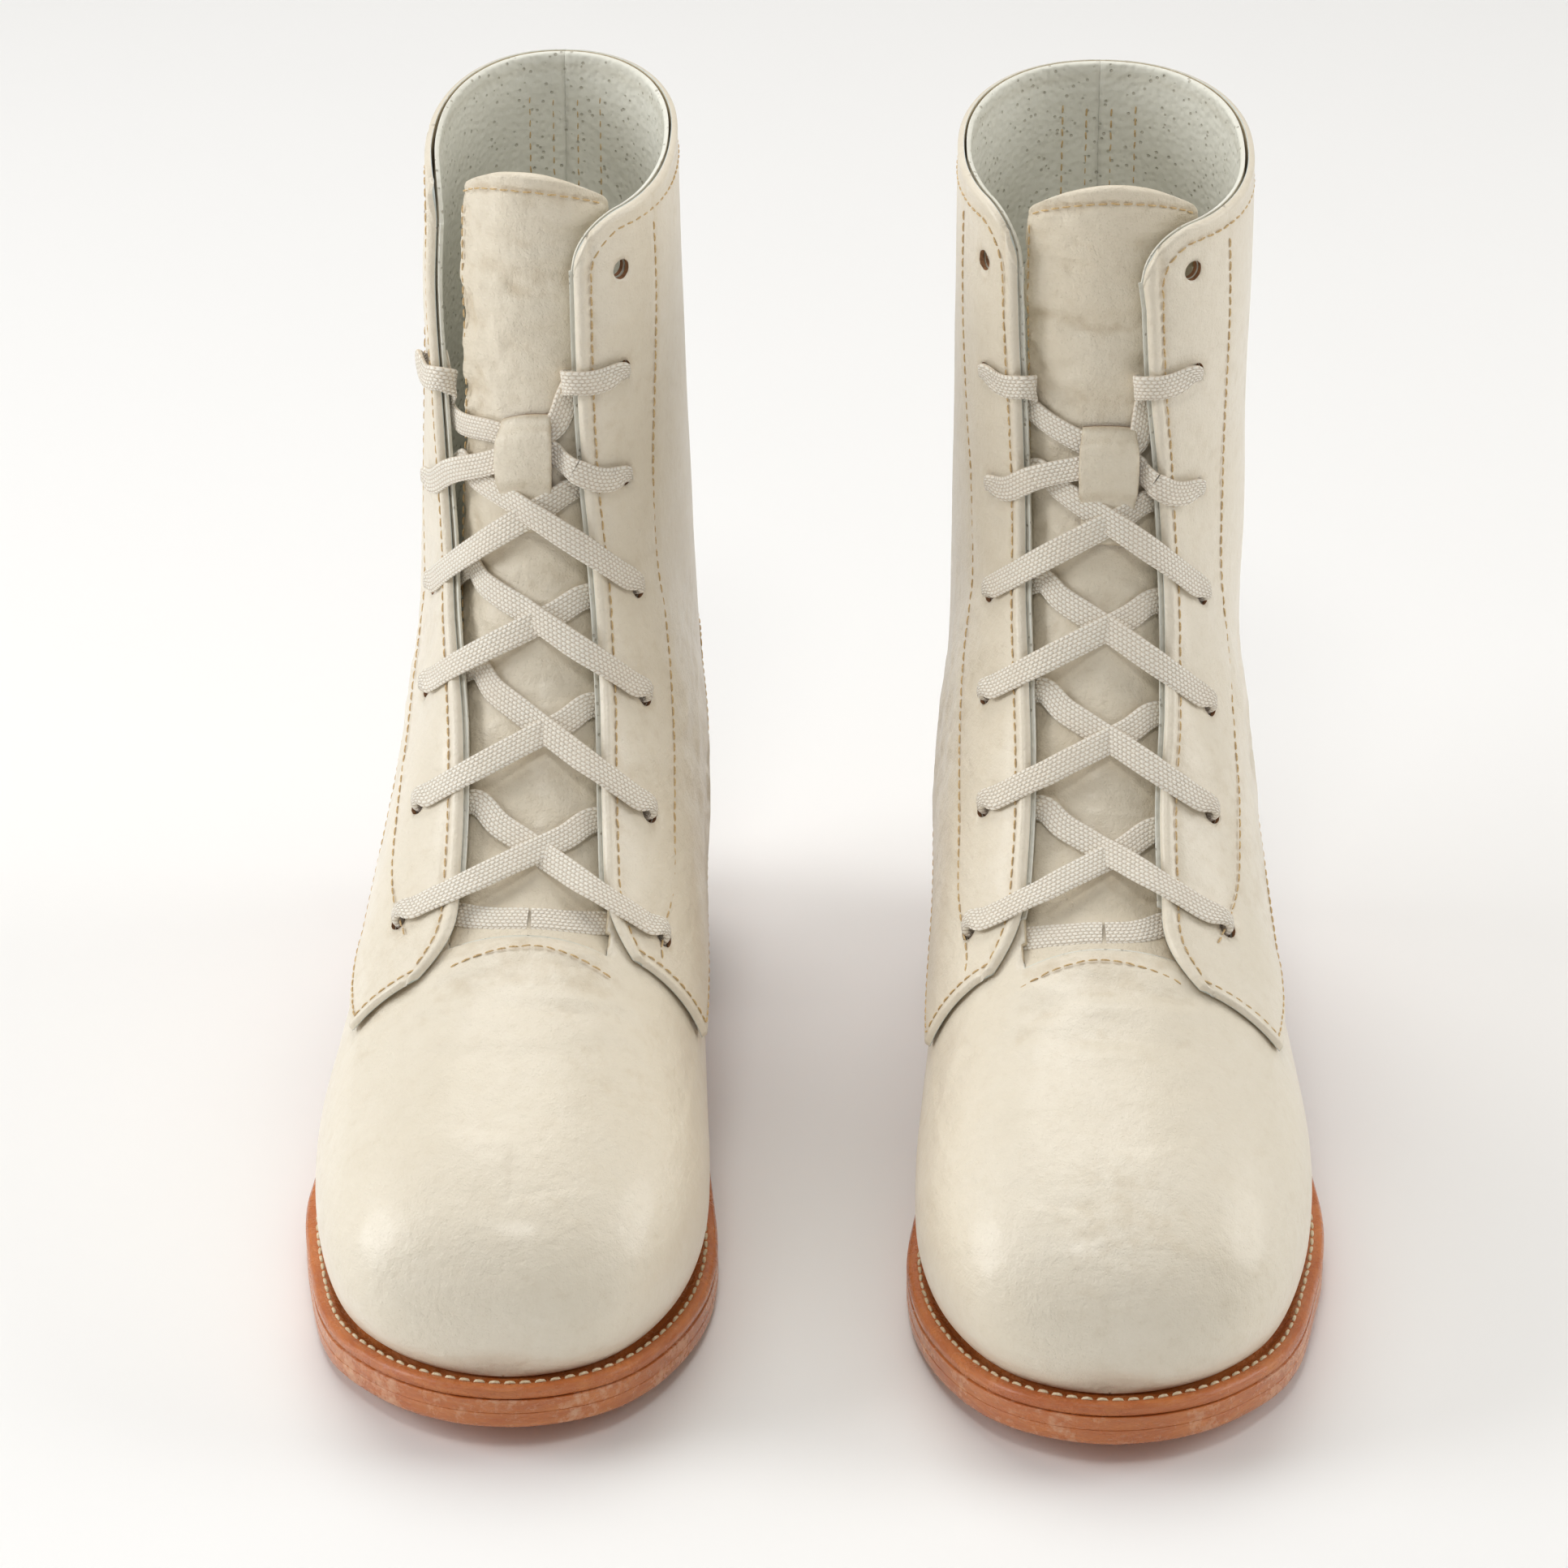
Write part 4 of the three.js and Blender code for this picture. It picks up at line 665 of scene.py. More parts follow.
class Boot:
    """One boot: its last, its facings and its place on the floor."""

    def __init__(self, facts):
        self.facts = facts
        self.side = facts["side"]
        self.body = f"{self.side}_boot"
        self.tongue_body = f"{self.side}_tongue"
        self.last = Last(facts["spread"])
        self.seed = 11 if self.side == "right" else 47
        self.curves = {s: curve_through(facts[NAMES[s]]) for s in (1, -1)}

    def world(self, points):
        """Points of the right-hand boot, in mm, to where this boot stands, in metres."""
        points = np.array(points, float)
        if self.side == "left":
            points[..., 0] *= -1
        turn = math.radians(self.facts["turn"])
        c, s = math.cos(turn), math.sin(turn)
        x = points[..., 0] * c - points[..., 1] * s + self.facts["x"] + PAIR_MIDDLE[0]
        y = points[..., 0] * s + points[..., 1] * c + self.facts["y"] + PAIR_MIDDLE[1]
        return np.stack([x, y, points[..., 2]], -1) * MM

    def make(self, name, points, faces, materials, nodes=(), body=None, slot=None, **details):
        if self.side == "left":
            faces = [face[::-1] for face in faces]
        made = piece(f"{self.side}_{name}", self.world(points), faces, materials, **details)
        if body != "blended":
            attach(made, body or self.body)
        if nodes:
            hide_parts(*[f"{self.side}_{node}" for node in nodes])
        return made

    def sheet(self, name, skins, materials, node, worn, side=1, **details):
        """A piece of leather between an outer and an inner skin."""
        faces, kinds = sheet_faces(worn.shape)
        if side < 0:
            faces = faces[:, ::-1]
        if len(materials) > 1:
            details["kinds"] = kinds
        return self.make(
            name, layered(*skins), faces, materials, (node,), worn=layered(worn, worn, 1), **details)

    def facing(self, side, t):
        """The distance of a facing's edge from the front line."""
        t = np.asarray(t, float)
        distance = self.curves[side](np.maximum(t, 7.5))[..., 0]
        drop = np.maximum(TIPS[side][0] + FACING_TURN - t, 0) / FACING_TURN
        return distance + 9 * drop**2.5

    def eyelets(self, side):
        t = np.array(EYELET_SECTIONS) + np.array(self.facts["lift"][side])
        distance = side * (self.facing(side, t) + np.array(EYELET_INSETS))
        return t, distance


def layered(outer, inner, size=3):
    return np.concatenate([outer.reshape(-1, size), inner.reshape(-1, size)])


def edge_round(distance, radius):
    """How full a skin is near its cut edge: 0 at the edge, 1 from the radius on."""
    u = np.clip(distance / radius, 0, 1)
    return np.sqrt(np.maximum(1 - (1 - u) ** 2, 0))


# ---------------------------------------------------------------- laces


def taut_sections(boot, start, end, distances, offsets):
    """The sections at which a strand pulled straight between two points crosses each distance."""
    last = boot.last
    a, b = (last.at(t, last.share(t, d), o) for t, d, o in (start, end))
    across = np.cross(b - a, (0, -0.87, 0.49))
    found = []
    for distance, offset in zip(distances, offsets):
        t = np.linspace(min(start[0], end[0]) - 0.8, max(start[0], end[0]) + 0.4, 240)
        points = last.at(t, last.share(t, np.full_like(t, distance)), offset)
        found.append(float(t[np.argmin(np.abs((points - a) @ across))]))
    return found


def lace_marks(boot, start_side):
    """One half of the lace from the middle of its bottom bar: sections, distances, offsets, widths."""
    places = {s: np.column_stack(boot.eyelets(s)) for s in (1, -1)}
    marks, cuts = [], []

    def add(t, distance, offset, width=1.0):
        marks.append((float(t), float(distance), float(offset), float(width)))

    def rim_at(side, t):
        return float(side * boot.facing(side, t))

    def through(side, row):
        t, distance = places[side][row]
        out = math.copysign(1, distance)
        add(t - 0.1, distance - out * 7, LACE_UNDER)
        add(t - 0.03, distance - out * 2.4, LACE_UNDER - 0.2, 0.7)
        add(t - 0.01, distance - out * 0.2, LACE_UNDER + 0.9, 0.5)
        add(t, distance + out * 0.3, (LACE_UNDER + LACE_OVER) / 2, 0.45)
        add(t + 0.01, distance - out * 0.1, LACE_OVER - 0.5, 0.5)
        add(t + 0.02, distance - out * 2.2, LACE_OVER + 0.7, 0.66)

    side = start_side
    keeper = boot.facts["keeper"]
    for share, bar in ((0, 7.08), (0.4, 7.1), (0.8, 7.18), (1.2, 7.32)):
        add(bar, rim_at(side, 7.5) * share, LACE_UNDER)
    through(side, 6)
    for row in range(6, 1, -1):
        (t0, d0), (t1, d1) = places[side][row], places[-side][row - 1]
        behind = row == 2
        over_keeper = row == 3
        on_top = (side < 0) == boot.facts["outer_on_top"]
        below = LACE_UNDER + (1.2 if over_keeper else 0.1)
        middle = below + LACE_THICK + 0.35 if on_top else below
        under_edge = t1 - 0.45 + 0.33 * float(smooth_step(14, 24, boot.facing(-side, t1)))
        if behind:
            under_edge = 13.75
        far = rim_at(-side, under_edge)
        rim = rim_at(side, mix(t0, t1, 0.2))
        out = math.copysign(1, rim)
        if behind:
            over_edge, cross = t0 - 0.22, 12.75
            rim = rim_at(side, over_edge)
            add(mix(t0, over_edge, 0.6), mix(d0, rim, 0.45), LACE_OVER + 0.3)
            add(over_edge, mix(d0, rim, 0.85), LACE_OVER)
            cuts.append(len(marks))
            room = abs(rim - keeper) - KEEPER_WIDTH * 0.5
            add(mix(over_edge, cross, 0.2), rim - out * min(room * 0.35, 4), LACE_OVER - 0.5)
            add(cross - 0.1, keeper + out * KEEPER_WIDTH * 0.54, middle + 0.4, 0.95)
            cuts.append(len(marks))
            add(cross + 0.04, keeper, middle)
            add(cross + 0.24, keeper - out * KEEPER_WIDTH * 0.54, LACE_UNDER, 0.95)
        else:
            centre = (rim_at(side, mix(t0, t1, 0.4)) + rim_at(-side, mix(t0, t1, 0.4))) / 2
            route = (
                (mix(d0, rim, 0.4), LACE_OVER + 0.1), (mix(d0, rim, 0.8), LACE_OVER),
                (rim - out * 3, LACE_OVER - 0.4),
                (mix(rim - out * 3, centre, 0.5), mix(LACE_OVER, middle, 0.55)),
                (centre, middle), (mix(centre, far, 0.5), below),
            )
            distances, offsets = zip(*route)
            start, end = (t0, d0, LACE_OVER), (under_edge, far, LACE_UNDER)
            sections = taut_sections(boot, start, end, distances, offsets)
            for t, (distance, offset) in zip(sections, route):
                add(t, distance, offset)
        side = -side
        add(under_edge, far * (1.1 if behind else 0.9), LACE_UNDER)
        if behind:
            cuts.append(len(marks))
        add(mix(under_edge, t1, 0.4), mix(far, d1, 0.4), LACE_UNDER)
        through(side, row - 1)
    t, d = places[side][1]
    out = math.copysign(1, d)
    rim = rim_at(side, t - 0.2)
    add(t - 0.16, d - out * 7, LACE_OVER + 0.3)
    add(t - 0.26, rim + out * 2, LACE_OVER + 0.2)
    add(t - 0.31, rim - out * 1.9, LACE_OVER - 0.8)
    add(t - 0.36, rim - out * 3.2, (LACE_OVER + LACE_UNDER) / 2)
    add(t - 0.41, rim - out * 1.9, LACE_UNDER + 0.3)
    add(t - 0.46, rim + out * 3, LACE_UNDER)
    add(t - 0.65, rim + out * 12, LACE_UNDER)
    add(t - 0.92, rim + out * 22, LACE_UNDER - 0.3, 0.8)
    add(t - 1.05, rim + out * 27, LACE_UNDER - 0.8, 0.3)
    return np.array(marks), cuts


def band(boot, centres, ups, widths, start):
    """A flat braid with rounded edges along a line, with its UV map in mm."""
    count = 14
    tangents = unit(np.gradient(centres, axis=0))
    wide = unit(ups - tangents * np.sum(ups * tangents, -1, keepdims=True))
    thick = np.cross(tangents, wide)
    angle = np.linspace(0, 2 * math.pi, count, endpoint=False)
    cos, sin = np.cos(angle), np.sin(angle)
    flat = np.sign(cos) * np.abs(cos) ** 0.75
    tall = np.sign(sin) * np.abs(sin) ** 0.55
    half = LACE_WIDTH * widths / 2
    depth = LACE_THICK / 2 * np.minimum(1 / widths, 1.9) ** 0.9
    points = (
        centres[:, None] + wide[:, None] * (half[:, None] * flat)[..., None]
        + thick[:, None] * (depth[:, None] * tall)[..., None]
    )
    runs = run_length(centres) + start
    u = np.broadcast_to(flat * LACE_WIDTH / 2 + 3.5, (len(centres), count))
    v = np.broadcast_to(runs[:, None], u.shape)
    k = np.arange(len(centres) - 1)[:, None] * count + np.arange(count)
    n = np.arange(len(centres) - 1)[:, None] * count + (np.arange(count) + 1) % count
    faces = np.stack([k, n, n + count, k + count], -1).reshape(-1, 4)
    return points.reshape(-1, 3), faces, np.stack([u, v], -1).reshape(-1, 2)


def join(parts):
    points, faces, uvs, base = [], [], [], 0
    for p, f, uv in parts:
        points.append(p)
        faces.append(f + base)
        uvs.append(uv)
        base += len(p)
    return np.concatenate(points), np.concatenate(faces), np.concatenate(uvs)


def lace_pieces(boot):
    """The lace in the boot, and the two short stretches at the tongue's keeper."""
    fixed, moving = [], {1: [], -1: []}
    length = 0.0
    for start_side in (1, -1):
        marks, cuts = lace_marks(boot, start_side)
        rough = boot.last.at(marks[:, 0], boot.last.share(marks[:, 0], marks[:, 1]), marks[:, 2])
        keys = run_length(rough)
        route = curve_through(np.column_stack([keys, marks]), level=True)
        steps = np.arange(0, keys[-1], 0.7)
        t, distance, offset, width = route(steps).T
        share = boot.last.share(t, distance)
        centres = boot.last.at(t, share, offset)
        slack = soft_noise(centres, 14, boot.seed + start_side) * 0.25
        centres = boot.last.at(t, share, offset + slack * (offset > LACE_UNDER + 1))
        kernel = np.hanning(9) / np.hanning(9).sum()
        padded = np.pad(centres, ((4, 4), (0, 0)), mode="edge")
        centres = np.column_stack([np.convolve(padded[:, k], kernel, "valid") for k in range(3)])
        ups = unit(boot.last.at(t + 0.1, boot.last.share(t + 0.1, distance), offset) - centres)
        length += run_length(centres)[-1]
        edges = [int(np.searchsorted(steps, keys[c])) for c in cuts]
        a, b, c = edges
        # the side that the strand is on before it reaches the keeper
        first_side = 1 if marks[cuts[0], 1] > boot.facts["keeper"] else -1
        stretches = ((0, a, fixed), (a, b, moving[first_side]), (b, c, moving[-first_side]),
                     (c, len(steps) - 1, fixed))
        for low, high, where in stretches:
            cut = slice(low, high + 1)
            where.append(band(boot, centres[cut], ups[cut], width[cut], steps[low]))
    points, faces, uvs = join(fixed)
    boot.make("lace_run", points, faces, [BRAID], ("lace",), slot="lace_cotton", uvs=uvs)
    for side, parts in moving.items():
        points, faces, uvs = join(parts)
        name = f"lace_at_keeper_{NAMES[side]}"
        made = boot.make(name, points, faces, [BRAID], body="blended", slot="lace_cotton", uvs=uvs)
        at = boot.facts["keeper"] + side * KEEPER_WIDTH * 0.5
        rim = side * float(boot.facing(side, 12.9))
        ends = boot.world(boot.last.at(12.9, boot.last.share(12.9, np.array([rim, at])), 0))
        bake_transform(made)
    return length


# ---------------------------------------------------------------- stitches


def stitch_row(points, normals, pitch=3.0, length=2.3, thick=0.55, seed=3, lift=0.1):
    """Short, plump stitches along a line: each one dips into the leather at both ends."""
    rng = np.random.default_rng(seed)
    runs = run_length(points)
    middles = np.arange(pitch / 2, runs[-1] - pitch / 3, pitch)

    def along(values, at):
        return np.column_stack([np.interp(at, runs, values[:, k]) for k in range(3)])

    centre, normal = along(points, middles), unit(along(normals, middles))
    way = unit(along(points, middles + 0.4) - along(points, middles - 0.4))
    side = np.cross(normal, way)
    turn = rng.normal(0, 0.07, len(middles))[:, None]
    way, side = way * np.cos(turn) + side * np.sin(turn), side * np.cos(turn) - way * np.sin(turn)
    ring = np.linspace(0, 2 * math.pi, 6, endpoint=False)
    profile = (
        (-0.5, 0.35, -0.35), (-0.36, 0.85, 0.0), (0, 1.0, 0.12), (0.36, 0.85, 0.0), (0.5, 0.35, -0.35))
    verts = []
    for place, size, rise in profile:
        for angle in ring:
            verts.append(
                centre + way * place * length
                + side * math.cos(angle) * size * thick / 2 * 1.15
                + normal * (math.sin(angle) * size * thick / 2 + rise * thick + lift))
    count = len(profile) * 6
    verts = np.stack(verts, 1).reshape(-1, 3)
    faces = []
    for k in range(len(profile) - 1):
        for j in range(6):
            a, b = k * 6 + j, k * 6 + (j + 1) % 6
            faces.append((a, b, b + 6, a + 6))
    faces = np.array(faces)
    base = np.arange(len(middles))[:, None, None] * count
    return verts, (faces[None] + base).reshape(-1, 4), np.zeros((len(verts), 2))


def skin_line(boot, t, distance, offset):
    share = boot.last.share(t, distance)
    return boot.last.at(t, share, offset, normal_too=True)


# ---------------------------------------------------------------- upper


def wrinkled(boot, points, t, distance):
    """The creases of the worn leather, in mm: soft dents all over, and folds at throat and ankle."""
    soft = soft_noise(points, 38, boot.seed) * 0.4 + soft_noise(points, 13, boot.seed + 1) * 0.08
    flat = points * np.array([0.25, 1, 1])
    folds = soft_noise(flat, 4.6, boot.seed + 2) * 0.6
    at_throat = bell(t, 6.2, 0.75) * bell(distance, 0, 34)
    at_ankle = bell(t, 10.5, 1.6) * bell(np.abs(distance), 62, 30)
    return soft + folds * (at_throat * 1.7 + at_ankle * 0.8)


def vamp_pieces(boot):
    """The vamp from the toe to the throat, its wings, and the cover round the heel."""
    last = boot.last
    columns = np.linspace(-1, 1, 181)
    vamp_rows = np.concatenate([
        (0.015, 0.05, 0.1, 0.16), np.linspace(0.25, THROAT, 100),
        np.linspace(THROAT + 0.05, WING_END, 34)])
    for name, node, rows in (
        ("vamp_skin", "vamp", vamp_rows),
        ("heel_skin", "heel_cover", np.linspace(WING_END + 0.03, 14.2, 90)),
    ):
        is_vamp = node == "vamp"
        t, share = np.meshgrid(rows, columns, indexing="ij")
        distance = share * np.where(share > 0, last.reach_at(t, 1), last.reach_at(t, -1))
        base = last.at(t, share)
        height = base[..., 2] - feather_height(np.minimum(base[..., 1], HEEL_END))
        edge = np.where(share > 0, quarter_edge(base[..., 1], 1), quarter_edge(base[..., 1], -1))
        room = edge + LAP - 1 - height
        to_throat = np.where((np.abs(distance) < 21) & (t <= THROAT + 0.1), (THROAT - t) * 19, 9)
        rear = (WING_END - t if is_vamp else t - WING_END) * 33
        near = np.where(np.abs(rear) < 9 if is_vamp else rear < 9, rear, 9)
        if is_vamp:
            near = np.minimum(to_throat, near)
        full = edge_round(near, 1.1)
        relief = wrinkled(boot, base, t, distance) * smooth_step(0.6, 2.4, t)
        relief = relief * smooth_step(0, 14, height)
        seam = bell(near, 3.2, 0.7) * (near < 8.9)
        under_quarter = np.where(height > edge + 1.0, -0.25, 0)
        outer = last.at(t, share, -UPPER + UPPER * full + relief - 0.22 * seam + under_quarter)
        inner = last.at(t, share, -UPPER + np.minimum(relief, 0) * 0.5)
        kept = room >= 0
        if is_vamp:
            kept |= (t <= THROAT + 0.01) | ((t <= 7.45) & (np.abs(distance) >= 20))
        kept = kept[:-1, :-1] & kept[1:, :-1] & kept[:-1, 1:] & kept[1:, 1:]
        open_ends = rows[:-1] >= HEEL_BACK - 1e-6
        faces, kinds = sheet_faces(t.shape, kept, open_ends)
        # Darker colour, painted shade: in the stitched seam groove, in the dents of the creases and
        # along the bottom where the vamp meets the welt.
        worn = bell(near, 3.2, 1.1) * 0.35 * (near < 8.9)
        worn = worn + np.clip(-relief, 0, 1) * 0.5 + 0.4 * np.exp(-height / 2.0) * (t < 14)
        points, faces, worn = drop_loose(layered(outer, inner), faces, layered(worn, worn, 1))
        boot.make(
            name, points, faces, [CREAM, LINING, PALE_EDGE], (node,), slot="upper_leather",
            kinds=kinds, worn=worn)


def foot_line(boot, side, edge, first, rear):
    """The lower edge of a quarter from its facing round its tip to the back seam, as (t, across)."""
    last = boot.last

    def place(t):
        front = boot.facing(side, t) / last.reach_at(t, side)
        return float(t), float((last.share_at_height(t, side, edge) - front) / (1 - front))

    tip = place(rear)[1]
    rows = [(mix(first, rear, k / 8), tip * k / 8) for k in range(8)]
    end = HEEL_BACK
    while (last.at(end, 1.0)[2] - feather_height(HEEL_END)) < edge(HEEL_END, side):
        end += 0.01
    for t in np.concatenate([np.linspace(rear, 11.8, 34), np.linspace(11.9, end - 0.06, 12)]):
        rows.append(place(t))
    rows.append((end, 1.0))
    rows = np.array(rows)
    share = panel_share(boot, side, rows[:, 0], rows[:, 1])
    runs = run_length(last.at(rows[:, 0], side * share, 0))
    runs = runs / runs[-1]
    return lambda s: (np.interp(s, runs, rows[:, 0]), np.interp(s, runs, rows[:, 1]))


def panel_share(boot, side, t, across):
    reach = boot.last.reach_at(t, side)
    return mix(boot.facing(side, t) / reach, 1 - 0.02 / reach, across)


def panel(boot, side, foot, rows, columns, spread=0.0):
    """Sections and shares of a quarter's grid, and how far each point is from its free edges."""
    last = boot.last
    foot_t, foot_across = foot(columns)
    u = rows[:, None]
    t = mix(foot_t[None], COLLAR, u)
    across = mix(foot_across[None], columns[None], u)
    share = panel_share(boot, side, t, across)
    if spread:
        reach = last.reach_at(t, side)
        share = share - spread / reach * (1 - smooth_step(0, 6, (share * reach) - boot.facing(side, t)))
    base = last.at(t, side * share)
    up = run_length(base)
    along = run_length(np.swapaxes(base, 0, 1)).T
    return t, share, base, up, up[-1][None] - up, along


def collar_drop(boot, side, t, share):
    """How far a quarter's top corner is rounded down, as moves along Z."""
    reach = boot.last.reach_at(t, side)
    inset = np.clip(CORNER - (share * reach - boot.facing(side, t)), 0, CORNER)
    drop = CORNER - np.sqrt(CORNER**2 - inset**2)
    drop = drop * np.clip((t - 15.0) / (COLLAR - 15.0), 0, 1)
    return drop[..., None] * np.array([0, 0, 1.0])


def fine_steps(count):
    """Grid lines up a quarter that crowd at both edges, as parts of the whole height."""
    start = np.array(EDGE_LINES) / 150
    rest = np.linspace(start[-1], 1 - start[-1], count)[1:]
    lines = np.concatenate([start, rest])
    return np.concatenate([lines[lines < 1 - start[-1] + 1e-9], 1 - start[::-1][1:]])


def quarter_pieces(boot):
    last = boot.last
    threads = []
    for side in (1, -1):
        name = NAMES[side]
        first, rear = TIPS[side]
        foot = foot_line(boot, side, quarter_edge, first, rear)
        rows = fine_steps(112)
        near_front = np.linspace(4.4, 44, 40)
        columns = np.concatenate([
            np.array(EDGE_LINES[:-1]) / 165, near_front / 165,
            np.linspace(44 / 165, 1, 52)[1:]])
        t, share, base, up, down, along = panel(boot, side, foot, rows, columns)
        distance = share * last.reach_at(t, side)
        eye_t, eye_distance = boot.eyelets(side)
        eye_points = last.at(eye_t, last.share(eye_t, eye_distance))
        reach_eye = np.min(np.linalg.norm(base[:, :, None] - eye_points[None, None], axis=-1), -1)
        near = np.minimum(np.minimum(up, down), along)
        full = edge_round(near, 1.2)
        bead = 0.42 * bell(along, 1.7, 1.1) - 0.38 * bell(along, 3.7, 0.7)
        top = bell(down, 3.6, 0.8) * 0.3
        low = bell(up, 3.4, 0.6) * 0.3
        stay = stay_distance(side, t) - along
        groove = bell(stay, 0, 0.8) * 0.25 * (t > 7.6)
        relief = wrinkled(boot, base, t, distance)
        relief = relief * smooth_step(0, 9, along) * smooth_step(0, 8, up)
        dimple = -0.55 * bell(reach_eye, 2.3, 1.2)
        press = -0.35 * bell(reach_eye, 6, 5)
        outer_offset = QUARTER_IN + UPPER * (0.1 + 0.9 * full) + bead - top - low - groove + relief
        drop = collar_drop(boot, side, t, share)
        outer = last.at(t, side * share, outer_offset + dimple + press) - drop
        inner = last.at(t, side * share, QUARTER_IN + np.minimum(relief + press, 0) * 0.9) - drop
        # Darker colour, painted shade: in the grooves behind the facing bead and above the lower edge,
        # in the crease dents and in the dents round the eyelets.
        worn = 0.3 * bell(along, 3.7, 1.0) + 0.3 * bell(up, 3.4, 1.0)
        worn += np.clip(-relief, 0, 1) * 0.45 + 0.45 * bell(reach_eye, 2.4, 1.0)
        made = boot.sheet(
            f"quarter_skin_{name}", (outer, inner), [CREAM, PALE_EDGE, COOL_EDGE, RAW_EDGE],
            f"quarter_{name}", worn, side, slot="upper_leather")
        punch(boot, made, side)

        inside = foot_line(boot, side, lambda y, s: quarter_edge(y, s) + LAP + 1.5, 7.42, 7.42)
        t, share, base, up, down, along = panel(boot, side, inside, rows, columns, spread=0.9)
        near = np.minimum(down, along)
        pads = soft_noise(base, 20, boot.seed + 5) * 0.25 * smooth_step(0, 8, along)
        drop = collar_drop(boot, side, t, share)
        outer = last.at(t, side * share, LINING_OUT + np.minimum(pads, 0)) - drop
        thick = LINING_THICK * (0.1 + 0.9 * edge_round(near, 0.9))
        inner_offset = LINING_OUT - thick + np.minimum(pads, 0)
        inner = last.at(t, side * share, inner_offset) - drop
        # The lining is painted darker along a band under the collar's top edge.
        made = boot.sheet(
            f"quarter_inside_{name}", (outer, inner), [LINING], f"quarter_lining_{name}",
            0.25 * bell(down, 3.6, 1.2), side, slot="lining_leather")
        punch(boot, made, side)
        threads += quarter_threads(boot, side, foot)
    return threads


def stay_distance(side, t):
    """How far the stay's stitching runs from the facing edge."""
    rows = [(6.4, 5), (7.3, 15), (8.3, 24), (10, 28), (12, 29), (14, 27), (16, 24)]
    return curve_through(rows)(t)[..., 0]


def quarter_threads(boot, side, foot):
    last = boot.last
    rows, seed = [], boot.seed + side * 3
    turn = np.linspace(0, math.pi / 2, 30)
    reach = float(last.reach_at(COLLAR, side)) - float(boot.facing(side, COLLAR))
    edge_t = np.concatenate([
        np.linspace(TIPS[side][0] + 0.15, 15.3, 240), 15.32 + 0.49 * np.sin(turn), np.full(150, 15.81)])
    edge_gap = np.concatenate([
        np.full(240, 3.7), 13 - 9.3 * np.cos(turn), np.linspace(13.2, reach - 1.5, 150)])
    stay_t = np.linspace(7.2, 15.75, 240)
    for t, gap in ((edge_t, edge_gap), (stay_t, stay_distance(side, stay_t))):
        distance = side * (boot.facing(side, t) + gap)
        points, normals = skin_line(boot, t, distance, QUARTER_OUT - 0.12)
        rows.append(stitch_row(points, normals, 3.1, 2.4, 0.45, seed))
    s = np.linspace(0.01, 0.985, 260)
    t, across = foot(s)
    share = panel_share(boot, side, t, across)
    up_t = t + HEM / 22.0
    points, normals = last.at(t, side * share, QUARTER_OUT - 0.15, normal_too=True)
    higher_share = panel_share(boot, side, up_t, mix(across, s, 0.02))
    way = unit(last.at(up_t, side * higher_share, QUARTER_OUT - 0.15) - points)
    rows.append(stitch_row(points + way * HEM, normals, 3.0, 2.3, 0.45, seed + 2))
    return rows


def punch(boot, made, side):
    """Punches the eyelets of one facing through a skin."""
    eye_t, eye_distance = boot.eyelets(side)
    points, normals = boot.last.at(
        eye_t, boot.last.share(eye_t, eye_distance), 0, normal_too=True)
    angle = np.linspace(0, 2 * math.pi, 26, endpoint=False)
    verts, faces = [], []
    for centre, normal in zip(points, normals):
        x = unit(np.cross(normal, [0, 0, 1.0]))
        y = np.cross(normal, x)
        base = len(verts)
        for depth in (-7, 7):
            for a in angle:
                spoke = x * math.cos(a) + y * math.sin(a)
                verts.append(centre + normal * depth + spoke * EYELET_RADIUS)
        n = len(angle)
        for k in range(n):
            faces.append((base + k, base + (k + 1) % n, base + n + (k + 1) % n, base + n + k))
        faces.append(tuple(base + k for k in range(n))[::-1])
        faces.append(tuple(base + n + k for k in range(n)))
    if boot.side == "left":
        faces = [face[::-1] for face in faces]
    mesh = bpy.data.meshes.new("punch")
    mesh.from_pydata(boot.world(np.array(verts)).tolist(), [], faces)
    mesh.materials.append(RAW_EDGE)
    cutter = bpy.data.objects.new("punch", mesh)
    bpy.context.collection.objects.link(cutter)
    cut = made.modifiers.new("eyelets", "BOOLEAN")
    cut.operation, cut.object, cut.solver = "DIFFERENCE", cutter, "EXACT"
    cut.material_mode = "TRANSFER"
    bpy.context.view_layer.update()
    graph = bpy.context.evaluated_depsgraph_get()
    shape = bpy.data.meshes.new_from_object(made.evaluated_get(graph), depsgraph=graph)
    made.modifiers.clear()
    made.data = shape
    bpy.data.objects.remove(cutter)


